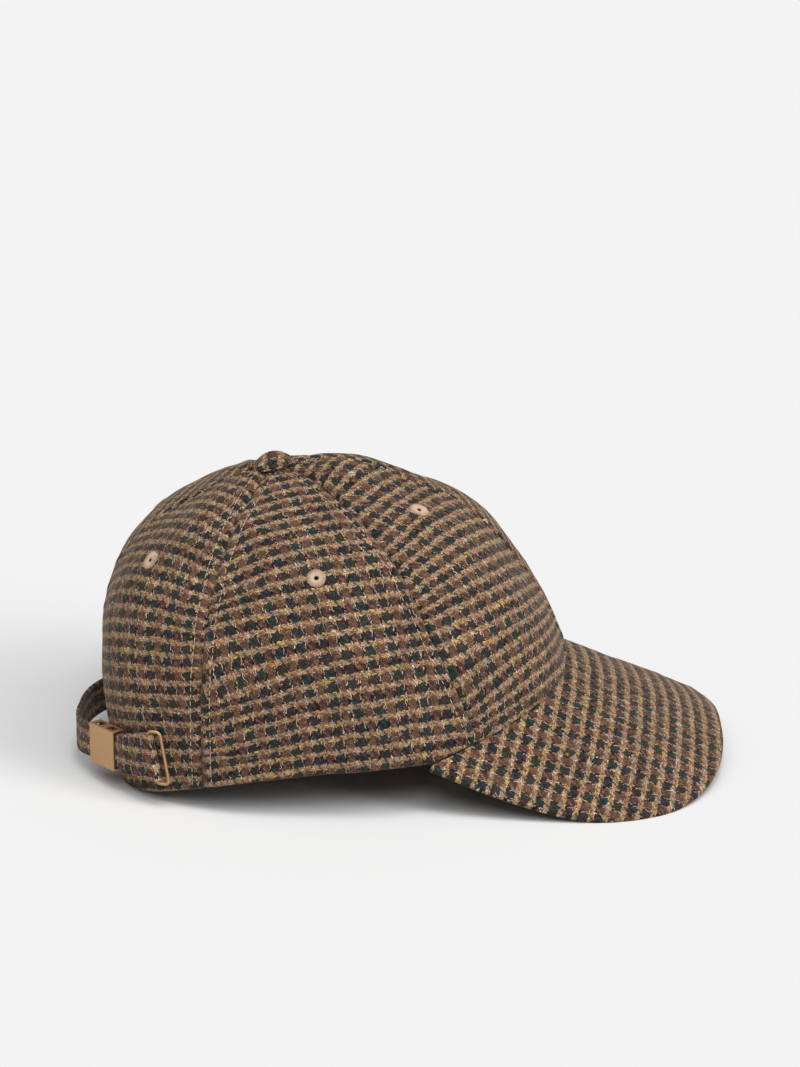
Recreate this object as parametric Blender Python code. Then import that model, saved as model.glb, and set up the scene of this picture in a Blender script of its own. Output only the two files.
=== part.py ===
"""Six-panel tweed baseball cap with a curved peak and a strap and clasp at the back.

Units are metres, +Z is up, +X is the way the cap faces and +Y is its wearer's
left. Z = 0 is the surface that the cap rests on. Shapes are worked out round
the middle of the crown, and each finished mesh is then moved so that the
origin is under the middle of the whole cap.
"""
import bpy
import math
from mathutils import Vector

# Crown, round the middle of the head
CROWN_FRONT = 0.1000            # middle to the front of the widest outline
CROWN_BACK = 0.1020             # middle to the back of it
CROWN_HALF_WIDTH = 0.0830
CROWN_HEIGHT = 0.1290           # resting surface to the cloth under the button
BUTTON_BACK = 0.0270            # how far the button sits behind the middle
FRONT_SQUARENESS = 2.05         # 2 is an ellipse, more is squarer
BACK_SQUARENESS = 2.5
WALL = 0.0020                   # thickness of the tweed with its turned seams
SEAM_GAP = 0.0003               # clearance between pieces that touch
PANEL_PUFF = 0.0012             # how far each gore swells between its seams
FRONT_SEAM_X = 0.0590           # where the front and side gores meet on the outline
SIDE_SEAM_X = -0.0560           # where the side and back gores meet on it
FRONT_SEAM_BOW = 10.5           # degrees that the front seam bows back halfway up
SIDE_SEAM_BOW = 0.0             # degrees that the side seam does

# Rim
RIM_FRONT = 0.0415              # height of the rim at the middle of the peak
RIM_CORNER = 0.0225             # and at the corners of the peak
PEAK_CORNER_X = 0.0400
REST_X = -0.0860                # behind this the hem lies flat on the surface
RIM_BOW = 2.3                   # how late the rim falls from the corner to there

# Half-moon opening over the strap
OPENING_HALF_WIDTH = 0.0430
OPENING_HEIGHT = 0.0470

# Peak
PEAK_TIP_X = 0.1680
PEAK_TIP_HEIGHT = 0.0100
PEAK_WIDEST_X = 0.1000
PEAK_HALF_WIDTH = 0.0870
PEAK_CORNER_HALF_WIDTH = 0.0805
PEAK_LOWEST_X = 0.1200          # where its sides touch the surface
PEAK_ROUNDNESS = 2.5
PEAK_THICKNESS = 0.0034
PEAK_SWELL = 0.0006             # how far the peak bows above a straight run

# Button and eyelets
BUTTON_RADIUS = 0.0088
BUTTON_HEIGHT = 0.0056
EYELET_RADIUS = 0.0039
EYELET_HOLE_RADIUS = 0.0011
EYELET_BARREL_RADIUS = 0.0023
EYELET_RISE = 0.0007
EYELET_CLEARANCE = 0.0009       # between an eyelet's lips and the curved cloth
EYELET_SIDES = 16

# Strap, clasp and ring
STRAP_WIDTH = 0.0158
STRAP_TAIL_WIDTH = 0.0204       # at the ring, where the folded tail spreads
STRAP_THICKNESS = 0.0016
STRAP_BOW = 0.0100              # how far the strap stands out from the crown
STRAP_HEIGHT = 0.0134           # middle of the strap at the back, above the surface
STRAP_RISE = 0.0088             # how much higher its tail is at the ring
STRAP_CLEARANCE = 0.0019        # between the folded tail and the leaning wall
STRAP_LEAN = 12.0               # degrees that the tail leans back at the ring
CLASP_BEARING = 199.5           # where the strap enters the clasp, in degrees round the crown
CLASP_LENGTH = 0.0192
CLASP_SHEET = 0.0008
CLASP_SLOT = 0.0052             # length of each slot in the clasp's top
RING_BEARING = 227.5            # where the ring's inner bar lies, under the fold
RING_WIRE = 0.0013
RING_WIDTH = 0.0068
RING_MARGIN = 0.0006            # between the tail's edges and the ring
RING_CLEARANCE = 0.0012         # between its outer bar and the leaning wall

BUTTON_X = -BUTTON_BACK

# Meridians of the crown at its front, side and back. Climb runs from the
# resting surface to the button, reach is a share of the way from the button's
# axis to the widest outline, and height is a share of the crown's height.
PROFILE_COLUMNS = ("climb", "front_reach", "front_height", "side_reach", "side_height",
                   "back_reach", "back_height")
PROFILE = (
    (0.00, 1.000, 0.000, 0.985, 0.000, 0.955, 0.000),
    (0.12, 1.000, 0.170, 1.000, 0.170, 0.985, 0.170),
    (0.25, 0.990, 0.345, 1.000, 0.330, 1.000, 0.340),
    (0.37, 0.920, 0.525, 0.975, 0.490, 0.980, 0.510),
    (0.49, 0.820, 0.670, 0.910, 0.640, 0.895, 0.665),
    (0.60, 0.730, 0.785, 0.785, 0.780, 0.718, 0.785),
    (0.70, 0.620, 0.875, 0.595, 0.875, 0.520, 0.865),
    (0.80, 0.460, 0.950, 0.380, 0.940, 0.325, 0.930),
    (0.90, 0.250, 1.015, 0.180, 0.982, 0.160, 0.973),
    (1.00, 0.000, 1.000, 0.000, 1.000, 0.000, 1.000),
)

# Shallow dents and swellings of the soft cloth. Bearing is in degrees round
# the crown, climb is as above, the spreads are shares of a turn and of the
# climb, and depth is a share of the wall, inwards where it is negative.
DENT_COLUMNS = ("bearing", "climb", "bearing_spread", "climb_spread", "depth")
DENTS = (
    (-24.0, 0.80, 0.055, 0.045, -0.9),
    (-22.0, 0.90, 0.090, 0.060, 0.8),
    (32.0, 0.745, 0.045, 0.050, -1.3),
    (-84.0, 0.42, 0.060, 0.120, -0.5),
    (96.0, 0.36, 0.070, 0.120, -0.6),
    (-140.0, 0.52, 0.050, 0.100, -0.5),
    (146.0, 0.46, 0.050, 0.100, -0.6),
)


def clear_scene():
    for thing in list(bpy.data.objects):
        bpy.data.objects.remove(thing, do_unlink=True)


def fabric(name, colour, roughness, metallic=0.0):
    material = bpy.data.materials.new(name)
    material.use_nodes = True
    shader = material.node_tree.nodes["Principled BSDF"]
    shader.inputs["Base Color"].default_value = (*colour, 1.0)
    shader.inputs["Roughness"].default_value = roughness
    shader.inputs["Metallic"].default_value = metallic
    return material


def clamp(value, low=0.0, high=1.0):
    return max(low, min(high, value))


def read_row(table, columns, key):
    """Row of a table at a key in its first column, on a smooth curve through its rows."""
    last = len(table) - 1
    spot = next((i for i in range(last) if key <= table[i + 1][0]), last - 1)
    before, after = table[spot], table[spot + 1]
    earlier, later = table[max(spot - 1, 0)], table[min(spot + 2, last)]
    step = after[0] - before[0]
    t = clamp((key - before[0]) / step)
    values = {}
    for i, column in enumerate(columns):
        leave = (after[i] - earlier[i]) / (after[0] - earlier[0]) * step
        arrive = (later[i] - before[i]) / (later[0] - before[0]) * step
        rise = after[i] - before[i]
        values[column] = (before[i] + leave * t + (3 * rise - 2 * leave - arrive) * t ** 2
                          + (leave + arrive - 2 * rise) * t ** 3)
    return values


def outline(bearing):
    """Point of the crown's widest outline, seen from above."""
    across, along = math.sin(bearing), math.cos(bearing)
    reach = CROWN_FRONT if along > 0 else CROWN_BACK
    power = 2 / (FRONT_SQUARENESS if along > 0 else BACK_SQUARENESS)
    return (math.copysign(reach * abs(along) ** power, along),
            math.copysign(CROWN_HALF_WIDTH * abs(across) ** power, across))


def outline_bearing(x):
    """Bearing, on the wearer's left, where the widest outline passes x."""
    reach = CROWN_FRONT if x > 0 else CROWN_BACK
    squareness = FRONT_SQUARENESS if x > 0 else BACK_SQUARENESS
    return math.acos(math.copysign(abs(x / reach) ** (squareness / 2), x))


FRONT_SEAM = outline_bearing(FRONT_SEAM_X)
SIDE_SEAM = outline_bearing(SIDE_SEAM_X)
PEAK_CORNER = outline_bearing(PEAK_CORNER_X)
# Seams on the wearer's left: front middle, front to side, side to back, back middle
SEAMS = (0.0, FRONT_SEAM, SIDE_SEAM, math.pi)
SEAM_FOOT = 0.18                 # climb below which the seams run straight up
# How far each seam bows backwards halfway up, in radians
SEAM_BOWS = (0.0, math.radians(FRONT_SEAM_BOW), math.radians(SIDE_SEAM_BOW), 0.0)


def seam_bearing(seam, climb):
    """Bearing of a seam at a climb; it bows back between the rim and the button."""
    return SEAMS[seam] + SEAM_BOWS[seam] * math.sin(math.pi * clamp((climb - SEAM_FOOT) / (1 - SEAM_FOOT)))


def cloth_swell(bearing, climb):
    """How far the gores swell and dent the crown's smooth form at a point."""
    turn = abs(bearing) if abs(bearing) <= math.pi else 2 * math.pi - abs(bearing)
    seams = [seam_bearing(i, climb) for i in range(4)]
    gore = next((i for i in range(3) if turn <= seams[i + 1]), 2)
    share = clamp((turn - seams[gore]) / (seams[gore + 1] - seams[gore]))
    swell = PANEL_PUFF * math.sin(math.pi * share) ** 2 * math.sin(math.pi * clamp(climb)) ** 0.5
    for row in DENTS:
        dent = dict(zip(DENT_COLUMNS, row))
        off = (math.degrees(bearing) - dent["bearing"] + 180) % 360 - 180
        spread = ((off / 360 / dent["bearing_spread"]) ** 2
                  + ((climb - dent["climb"]) / dent["climb_spread"]) ** 2)
        swell += WALL * dent["depth"] * math.exp(-spread)
    return swell


def smooth_crown(bearing, climb):
    """Point of the crown's smooth form, without the swelling of the cloth."""
    row = read_row(PROFILE, PROFILE_COLUMNS, climb)
    along = math.cos(bearing)
    front, back = max(along, 0.0) ** 2, max(-along, 0.0) ** 2
    side = 1 - front - back
    reach = front * row["front_reach"] + side * row["side_reach"] + back * row["back_reach"]
    height = front * row["front_height"] + side * row["side_height"] + back * row["back_height"]
    x, y = outline(bearing)
    return Vector((BUTTON_X + (x - BUTTON_X) * reach, y * reach, CROWN_HEIGHT * height))


def crown_normal(bearing, climb, form):
    """Outward direction of a form of the crown, by small steps along it."""
    step = 1e-3
    climb = clamp(climb, step, 1 - 2 * step)
    around = form(bearing + step, climb) - form(bearing - step, climb)
    up = form(bearing, climb + step) - form(bearing, climb - step)
    return around.cross(up).normalized()


def crown_face(bearing, climb):
    """Point of the crown's outer face."""
    return smooth_crown(bearing, climb) + crown_normal(bearing, climb, smooth_crown) * cloth_swell(bearing, climb)


def crown_point(bearing, climb, lift=0.0):
    """Point lifted off the crown's outer face, or sunk below it."""
    return crown_face(bearing, climb) + crown_normal(bearing, climb, crown_face) * lift


def rim_height(bearing):
    turn = abs(bearing)
    if turn <= PEAK_CORNER:
        return RIM_CORNER + (RIM_FRONT - RIM_CORNER) * math.cos(math.pi / 2 * turn / PEAK_CORNER)
    fall = (PEAK_CORNER_X - outline(bearing)[0]) / (PEAK_CORNER_X - REST_X)
    return RIM_CORNER * (1 - clamp(fall) ** RIM_BOW)


def solve(test, low, high):
    """Where a test turns from below zero to above it, by halving."""
    for _ in range(40):
        middle = (low + high) / 2
        low, high = (middle, high) if test(middle) < 0 else (low, middle)
    return (low + high) / 2


def climb_at(bearing, height):
    """Climb at which the crown's outer face passes a height."""
    return solve(lambda climb: smooth_crown(bearing, climb).z - height, 0.0, 0.9)


def opening_foot(angle):
    """Bearing and climb of a point on the edge of the half-moon opening."""
    across, height = OPENING_HALF_WIDTH * math.cos(angle), OPENING_HEIGHT * math.sin(angle)
    bearing = solve(lambda b: across - smooth_crown(b, climb_at(b, height)).y, SIDE_SEAM, math.pi)
    return bearing, climb_at(bearing, height)


def mesh_object(name, points, faces, material, smooth=True):
    mesh = bpy.data.meshes.new(name)
    mesh.from_pydata([(p[0] - PART_MIDDLE_X, p[1], p[2]) for p in points], [], faces)
    mesh.update()
    made = bpy.data.objects.new(name, mesh)
    bpy.context.collection.objects.link(made)
    mesh.materials.append(material)
    if smooth:
        mesh.shade_smooth()
        mesh.set_sharp_from_angle(angle=math.radians(40))
    return made


def wall_faces(rows, columns):
    """Faces of a closed wall whose outer grid comes first and inner grid second."""
    inner = rows * columns

    def at(row, column, layer):
        return layer * inner + row * columns + column

    faces = []
    for r in range(rows - 1):
        for c in range(columns - 1):
            faces.append((at(r, c, 0), at(r, c + 1, 0), at(r + 1, c + 1, 0), at(r + 1, c, 0)))
            faces.append((at(r, c, 1), at(r + 1, c, 1), at(r + 1, c + 1, 1), at(r, c + 1, 1)))
    for c in range(columns - 1):
        faces.append((at(0, c, 1), at(0, c + 1, 1), at(0, c + 1, 0), at(0, c, 0)))
        faces.append((at(rows - 1, c, 0), at(rows - 1, c + 1, 0), at(rows - 1, c + 1, 1), at(rows - 1, c, 1)))
    for r in range(rows - 1):
        faces.append((at(r, 0, 0), at(r + 1, 0, 0), at(r + 1, 0, 1), at(r, 0, 1)))
        faces.append((at(r, columns - 1, 1), at(r + 1, columns - 1, 1), at(r + 1, columns - 1, 0),
                      at(r, columns - 1, 0)))
    return faces


def flip(faces, side):
    """Faces turned round where a mesh is made on the wearer's right."""
    return faces if side > 0 else [tuple(reversed(face)) for face in faces]


PANEL_ROWS = 16
PANEL_COLUMNS = 13
CORNER_COLUMNS = 5               # columns of a back gore before the opening
BUTTON_SEAT = 0.6                # share of the button's radius where the gores end under it


def panel_feet(gore, side):
    """Share of its width and climb of each column of a gore at its lower edge."""
    start, end = SEAMS[gore], SEAMS[gore + 1]
    if gore < 2:
        shares = [c / (PANEL_COLUMNS - 1) for c in range(PANEL_COLUMNS)]
    else:
        corner = (opening_foot(0.0)[0] - start) / (end - start)
        shares = [corner * c / CORNER_COLUMNS for c in range(CORNER_COLUMNS)]
    feet = []
    for share in shares:
        bearing = start + (end - start) * share
        feet.append((share, climb_at(side * bearing, rim_height(bearing))))
    if gore == 2:
        arch = PANEL_COLUMNS - CORNER_COLUMNS
        for c in range(arch):
            bearing, climb = opening_foot(math.pi / 2 * c / (arch - 1))
            feet.append(((bearing - start) / (end - start), climb))
    return feet


def button_distance(bearing, climb):
    place = smooth_crown(bearing, climb)
    return math.hypot(place.x - BUTTON_X, place.y)


def climb_near_button(bearing, distance):
    """Climb at which the crown comes within a distance of the button's axis."""
    return solve(lambda climb: distance - button_distance(bearing, climb), 0.5, 1.0)


def seam_allowance(bearing, climb, way):
    """Turn that moves a gore's edge back from a seam by half of the seam's gap."""
    seam = smooth_crown(bearing, climb)
    return solve(lambda turn: (smooth_crown(bearing + way * turn, climb) - seam).length - SEAM_GAP / 2, 0.0, 0.05)


def make_panel(name, gore, side, material):
    """One gore, from its rim to the button, between two seams."""
    feet = panel_feet(gore, side)
    last = len(feet) - 1
    outer, inner = [], []
    for r in range(PANEL_ROWS):
        rise = r / (PANEL_ROWS - 1)
        for c, (foot_share, foot_climb) in enumerate(feet):
            top_bearing = SEAMS[gore] + (SEAMS[gore + 1] - SEAMS[gore]) * c / last
            top_climb = climb_near_button(side * top_bearing, BUTTON_RADIUS * BUTTON_SEAT)
            share = foot_share + (c / last - foot_share) * rise
            climb = foot_climb + (top_climb - foot_climb) * rise
            start, end = seam_bearing(gore, climb), seam_bearing(gore + 1, climb)
            bearing = start + (end - start) * share
            if c == 0:
                bearing += seam_allowance(start, climb, 1)
            if c == last:
                bearing -= seam_allowance(end, climb, -1)
            outer.append(crown_point(side * bearing, climb))
            inner.append(crown_point(side * bearing, climb, -WALL))
            if r == 0:
                inner[-1].z = outer[-1].z
    faces = wall_faces(PANEL_ROWS, len(feet))
    return mesh_object(name, outer + inner, flip(faces, side), material)


# Eyelets, each at a share of its gore's width and at a climb
EYELET_COLUMNS = ("gore", "across", "climb")
EYELETS = (
    ("front", 0.52, 0.735),
    ("side", 0.48, 0.600),
    ("back", 0.54, 0.575),
)


def eyelet_place(row, side):
    gore, climb = ("front", "side", "back").index(row["gore"]), row["climb"]
    start, end = seam_bearing(gore, climb), seam_bearing(gore + 1, climb)
    bearing = side * (start + (end - start) * row["across"])
    return crown_point(bearing, climb), crown_normal(bearing, climb, crown_face)


def turned_ring(name, centre, axis, profile, sides, material):
    """Closed ring turned round an axis from a profile of (radius, height) corners."""
    turn = axis.to_track_quat("Z", "Y")
    points, faces = [], []
    for s in range(sides):
        angle = 2 * math.pi * s / sides
        for radius, height in profile:
            points.append(centre + turn @ Vector((radius * math.cos(angle), radius * math.sin(angle), height)))
    count = len(profile)
    for s in range(sides):
        for p in range(count):
            here, there = s * count, (s + 1) % sides * count
            nxt = (p + 1) % count
            faces.append((here + p, there + p, there + nxt, here + nxt))
    return mesh_object(name, points, faces, material)


def make_eyelet(name, row, side, material):
    """A sewn eyelet: thread wrapped round a hole, with a lip on both faces of the cloth."""
    place, axis = eyelet_place(row, side)
    outside, inside = EYELET_CLEARANCE, -WALL - EYELET_CLEARANCE
    profile = (
        (EYELET_HOLE_RADIUS, inside - EYELET_RISE * 0.4),
        (EYELET_BARREL_RADIUS, inside - EYELET_RISE),
        (EYELET_RADIUS, inside),
        (EYELET_BARREL_RADIUS, inside),
        (EYELET_BARREL_RADIUS, outside),
        (EYELET_RADIUS, outside),
        (EYELET_BARREL_RADIUS + EYELET_RISE, outside + EYELET_RISE),
        (EYELET_HOLE_RADIUS, outside + EYELET_RISE * 0.4),
    )
    return turned_ring(name, place, axis, profile, EYELET_SIDES, material)


def punch_hole(panel, row, side):
    """Cut the round hole of an eyelet through its gore."""
    place, axis = eyelet_place(row, side)
    depth = 4 * WALL
    bpy.ops.mesh.primitive_cylinder_add(vertices=EYELET_SIDES, radius=EYELET_BARREL_RADIUS + SEAM_GAP, depth=depth)
    cutter = bpy.context.object
    cutter.location = place - Vector((PART_MIDDLE_X, 0, 0))
    cutter.rotation_mode = "QUATERNION"
    cutter.rotation_quaternion = axis.to_track_quat("Z", "Y")
    cutter.name = panel.name + "_hole_cutter"
    cutter.hide_render = True
    cutter.display_type = "WIRE"
    cut = panel.modifiers.new("eyelet_hole", "BOOLEAN")
    cut.object = cutter
    cut.solver = "EXACT"


def make_button(material):
    """Domed cloth button, seated on the tops of the gores."""
    quarters = [math.pi / 2 * k for k in range(4)]
    ends = [crown_point(b, climb_near_button(b, BUTTON_RADIUS)) for b in quarters]
    axis = (ends[0] - ends[2]).cross(ends[1] - ends[3]).normalized()
    under = [crown_point(2 * math.pi * k / 12, climb_near_button(2 * math.pi * k / 12, BUTTON_RADIUS * share))
             for k in range(12) for share in (BUTTON_SEAT, 0.75, 0.9, 1.0)]
    foot = Vector((BUTTON_X, 0, CROWN_HEIGHT))
    seat = max((point - foot).dot(axis) for point in under) + SEAM_GAP
    centre = foot + axis * seat
    profile = []
    for k in range(6):
        angle = math.pi / 2 * k / 5
        profile.append((BUTTON_RADIUS * math.cos(angle) ** 0.8, BUTTON_HEIGHT * (0.22 + 0.78 * math.sin(angle))))
    profile[-1] = (0.0, BUTTON_HEIGHT)
    turn = axis.to_track_quat("Z", "Y")
    sides = 20
    points = [centre + turn @ Vector((0, 0, 0))]
    rings = [(BUTTON_RADIUS * 0.86, 0.0)] + profile[:-1]
    for radius, height in rings:
        for s in range(sides):
            angle = 2 * math.pi * s / sides
            points.append(centre + turn @ Vector((radius * math.cos(angle), radius * math.sin(angle), height)))
    points.append(centre + turn @ Vector((0, 0, BUTTON_HEIGHT)))
    top = len(points) - 1
    faces = []
    for s in range(sides):
        nxt = (s + 1) % sides
        faces.append((0, 1 + nxt, 1 + s))
        for r in range(len(rings) - 1):
            faces.append((1 + r * sides + s, 1 + r * sides + nxt, 1 + (r + 1) * sides + nxt, 1 + (r + 1) * sides + s))
        last = 1 + (len(rings) - 1) * sides
        faces.append((last + s, last + nxt, top))
    return mesh_object("top_button", points, faces, material)


def peak_edge_height(x, y):
    """Height of the peak's lower edge above the surface that the cap rests on."""
    if x >= PEAK_LOWEST_X:
        lowest_y = peak_edge_half_width(PEAK_LOWEST_X)
        return PEAK_TIP_HEIGHT * (1 - clamp(abs(y) / lowest_y) ** 1.4)
    return RIM_CORNER * clamp((PEAK_LOWEST_X - x) / (PEAK_LOWEST_X - PEAK_CORNER_X)) ** 1.5


def peak_edge_half_width(x):
    if x >= PEAK_WIDEST_X:
        share = clamp((x - PEAK_WIDEST_X) / (PEAK_TIP_X - PEAK_WIDEST_X))
        return PEAK_HALF_WIDTH * (1 - share ** PEAK_ROUNDNESS) ** (1 / PEAK_ROUNDNESS)
    share = (PEAK_WIDEST_X - x) / (PEAK_WIDEST_X - PEAK_CORNER_X)
    return PEAK_HALF_WIDTH - (PEAK_HALF_WIDTH - PEAK_CORNER_HALF_WIDTH) * share ** 2


def even_points(curve, count, fine=400):
    """Points spaced evenly along a curve given over 0 to 1."""
    line = [curve(k / fine) for k in range(fine + 1)]
    runs = [0.0]
    for a, b in zip(line, line[1:]):
        runs.append(runs[-1] + (b - a).length)
    picked, spot = [], 0
    for k in range(count):
        want = runs[-1] * k / (count - 1)
        while spot < fine - 1 and runs[spot + 1] < want:
            spot += 1
        share = (want - runs[spot]) / (runs[spot + 1] - runs[spot])
        picked.append(line[spot].lerp(line[spot + 1], clamp(share)))
    return picked


def peak_edge(share):
    """Lower outer edge of the peak, from the middle of its tip to its left corner."""
    turn = share * 2
    if turn <= 1:
        angle = math.pi / 2 * turn
        x = PEAK_WIDEST_X + (PEAK_TIP_X - PEAK_WIDEST_X) * math.cos(angle) ** (2 / PEAK_ROUNDNESS)
        y = PEAK_HALF_WIDTH * math.sin(angle) ** (2 / PEAK_ROUNDNESS)
    else:
        x = PEAK_WIDEST_X + (PEAK_CORNER_X - PEAK_WIDEST_X) * (turn - 1)
        y = peak_edge_half_width(x)
    return Vector((x, y, peak_edge_height(x, y)))


PEAK_HALF_COLUMNS = 19
PEAK_ROWS = 9


def make_peak(material):
    """Curved board covered in cloth, from under the gores to its outer edge."""
    edge = even_points(peak_edge, PEAK_HALF_COLUMNS)
    columns = []
    for c in range(1 - PEAK_HALF_COLUMNS, PEAK_HALF_COLUMNS):
        side = -1 if c < 0 else 1
        share = abs(c) / (PEAK_HALF_COLUMNS - 1)
        bearing = side * share * PEAK_CORNER
        climb = climb_at(bearing, rim_height(bearing))
        root = crown_point(bearing, climb)
        root.z = rim_height(bearing) - SEAM_GAP
        lip = crown_point(bearing, climb, -WALL)
        lip.z = root.z
        end = edge[abs(c)].copy()
        end.y *= side
        columns.append([lip] + [peak_run(root, end, r / (PEAK_ROWS - 2)) for r in range(PEAK_ROWS - 1)])
    count = len(columns)
    outer = [columns[c][r] for r in range(PEAK_ROWS) for c in range(count)]
    inner = []
    for r in range(PEAK_ROWS):
        for c in range(count):
            low, high = columns[max(c - 1, 0)][r], columns[min(c + 1, count - 1)][r]
            back, forth = columns[c][max(r - 1, 1)], columns[c][min(r + 1, PEAK_ROWS - 1)]
            normal = (forth - back).cross(high - low).normalized()
            inner.append(columns[c][r] - normal * PEAK_THICKNESS)
    for point in outer + inner:
        point.z = max(point.z, 0.0)
    return mesh_object("peak", outer + inner, flip(wall_faces(PEAK_ROWS, count), -1), material)


def peak_run(root, end, share):
    """Point on one of the runs of the peak, from the crown to its outer edge."""
    point = root.lerp(end, share)
    point.z += PEAK_SWELL * math.sin(math.pi * share)
    return point


# The strap follows the crown's outline. Bearing is in degrees from the front,
# past the left, standoff is a share of the strap's bow and rise of its rise.
ROUTE_COLUMNS = ("bearing", "standoff", "rise")
STRAP_ROUTE = (
    (149.0, -0.39, -0.10),
    (154.0, -0.39, -0.08),
    (157.5, -0.35, -0.06),
    (161.0, 0.00, -0.04),
    (165.0, 0.38, -0.02),
    (172.0, 0.84, 0.00),
    (180.0, 1.14, 0.02),
    (187.0, 1.26, 0.06),
    (193.0, 1.14, 0.18),
    (199.5, 0.84, 0.38),
    (205.0, 0.60, 0.45),
    (212.0, 0.52, 0.56),
    (219.0, 0.50, 0.76),
    (227.5, 0.61, 1.00),
)
STRAP_STEP = 2.2                # degrees between cross-sections of the strap
FOLD_STEPS = 6                  # cross-sections round the fold at the ring
BAND_SHARES = (-0.5, -0.25, 0.0, 0.25, 0.5)


def route_row(bearing):
    return read_row(STRAP_ROUTE, ROUTE_COLUMNS, bearing)


def foot_outline(bearing, height):
    """Point of the crown's outer face at a height, and its level outward direction."""
    step = 0.01
    turn = math.radians(bearing)
    here, middle, ahead = (smooth_crown(b, climb_at(b, height)) for b in (turn - step, turn, turn + step))
    along = (ahead - here).to_2d().normalized()
    return middle, Vector((along.y, -along.x, 0.0))


def strap_place(bearing, standoff):
    """Point at a distance off the crown's outer face, at the strap's height."""
    height = STRAP_HEIGHT + STRAP_RISE * route_row(bearing)["rise"]
    foot, out = foot_outline(bearing, height)
    place = foot + out * standoff
    place.z = height
    return place


def strap_spine(bearing):
    return strap_place(bearing, route_row(bearing)["standoff"] * STRAP_BOW)


def clasp_ends():
    """Where the strap enters and leaves the clasp, which it runs straight through."""
    start = strap_spine(CLASP_BEARING)
    end = solve(lambda b: (strap_spine(b) - start).length - CLASP_LENGTH, CLASP_BEARING, RING_BEARING)
    return start, strap_spine(end), end


def layer_gap():
    """Distance between the middles of the strap's two layers inside the clasp."""
    return STRAP_THICKNESS + SEAM_GAP


def fold_radius():
    return (RING_WIRE + STRAP_THICKNESS) / 2 + SEAM_GAP


def ring_frame():
    """Middle of the ring's inner bar, with the outward, along and leaning up directions there."""
    standoff = STRAP_CLEARANCE + STRAP_THICKNESS / 2 + fold_radius()
    middle = strap_place(RING_BEARING, standoff)
    out = foot_outline(RING_BEARING, middle.z)[1]
    along = Vector((-out.y, out.x, 0.0))
    lean = math.radians(STRAP_LEAN)
    up = Vector((0, 0, math.cos(lean))) - along * math.sin(lean)
    return middle, out, along, up


def strap_stations():
    """Cross-sections of the strap: middle, outward direction, up direction and width."""
    start, end, end_bearing = clasp_ends()
    chord = (end - start).normalized()
    chord_out = Vector((chord.y, -chord.x, 0.0)).normalized()
    upright = Vector((0, 0, 1))
    bar, bar_out, bar_along, bar_up = ring_frame()
    spots = []

    def spread(bearing):
        share = clamp((bearing - end_bearing) / (RING_BEARING - end_bearing))
        return share * share * (3 - 2 * share)

    def station(place, bearing):
        share = spread(bearing)
        width = STRAP_WIDTH + (STRAP_TAIL_WIDTH - STRAP_WIDTH) * share
        out = foot_outline(bearing, place.z)[1]
        along = Vector((-out.y, out.x, 0.0))
        lean = math.radians(STRAP_LEAN) * share
        up = upright * math.cos(lean) - along * math.sin(lean)
        return place, out, up, width

    first = STRAP_ROUTE[0][0]
    before = max(2, round((CLASP_BEARING - first) / STRAP_STEP))
    after = max(2, round((RING_BEARING - end_bearing) / STRAP_STEP))
    for k in range(before):
        bearing = first + (CLASP_BEARING - first) * k / before
        spots.append(station(strap_spine(bearing), bearing))
    for share in (0.0, 0.5, 1.0):
        spots.append((start.lerp(end, share), chord_out, upright, STRAP_WIDTH))
    for k in range(1, after):
        share = k / after
        bearing = end_bearing + (RING_BEARING - end_bearing) * share
        spots.append(station(strap_spine(bearing), bearing))
    for k in range(FOLD_STEPS + 1):
        turn = math.pi * k / FOLD_STEPS
        out = bar_out * math.cos(turn) + bar_along * math.sin(turn)
        spots.append((bar + out * fold_radius(), out, bar_up, STRAP_TAIL_WIDTH))
    inner_end = end - chord_out * layer_gap()
    inner_start = start.lerp(end, 0.2) - chord_out * layer_gap()
    low = STRAP_CLEARANCE + STRAP_THICKNESS / 2
    high = route_row(end_bearing)["standoff"] * STRAP_BOW - layer_gap()
    for k in range(1, after):
        share = k / after
        bearing = RING_BEARING + (end_bearing - RING_BEARING) * share
        place = strap_place(bearing, low + (high - low) * share * share)
        middle, out, up, width = station(place, bearing)
        spots.append((middle, -out, up, width))
    for place in (inner_end, inner_start):
        spots.append((place, -chord_out, upright, STRAP_WIDTH))
    return spots


def make_strap(material):
    """The strap, from inside the left back gore, through the clasp and back round the ring."""
    spots = strap_stations()
    outer, inner = [], []
    for share in BAND_SHARES:
        for place, out, up, width in spots:
            outer.append(place + up * width * share + out * STRAP_THICKNESS / 2)
            inner.append(place + up * width * share - out * STRAP_THICKNESS / 2)
    return mesh_object("strap", outer + inner, wall_faces(len(BAND_SHARES), len(spots)), material)


def sleeve(name, start, end, out, inside, outside, material):
    """Rectangular tube from start to end; inside and outside are (out low, out high, up low, up high)."""
    points = []
    for low, high, bottom, top in (outside, inside):
        for place in (start, end):
            for side, level in ((high, bottom), (high, top), (low, top), (low, bottom)):
                points.append(place + out * side + Vector((0, 0, level)))
    faces = []
    for k in range(4):
        n = (k + 1) % 4
        faces.append((k, 4 + k, 4 + n, n))
        faces.append((8 + k, 8 + n, 12 + n, 12 + k))
        faces.append((k, n, 8 + n, 8 + k))
        faces.append((4 + k, 12 + k, 12 + n, 4 + n))
    return mesh_object(name, points, faces, material, smooth=False)


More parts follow.
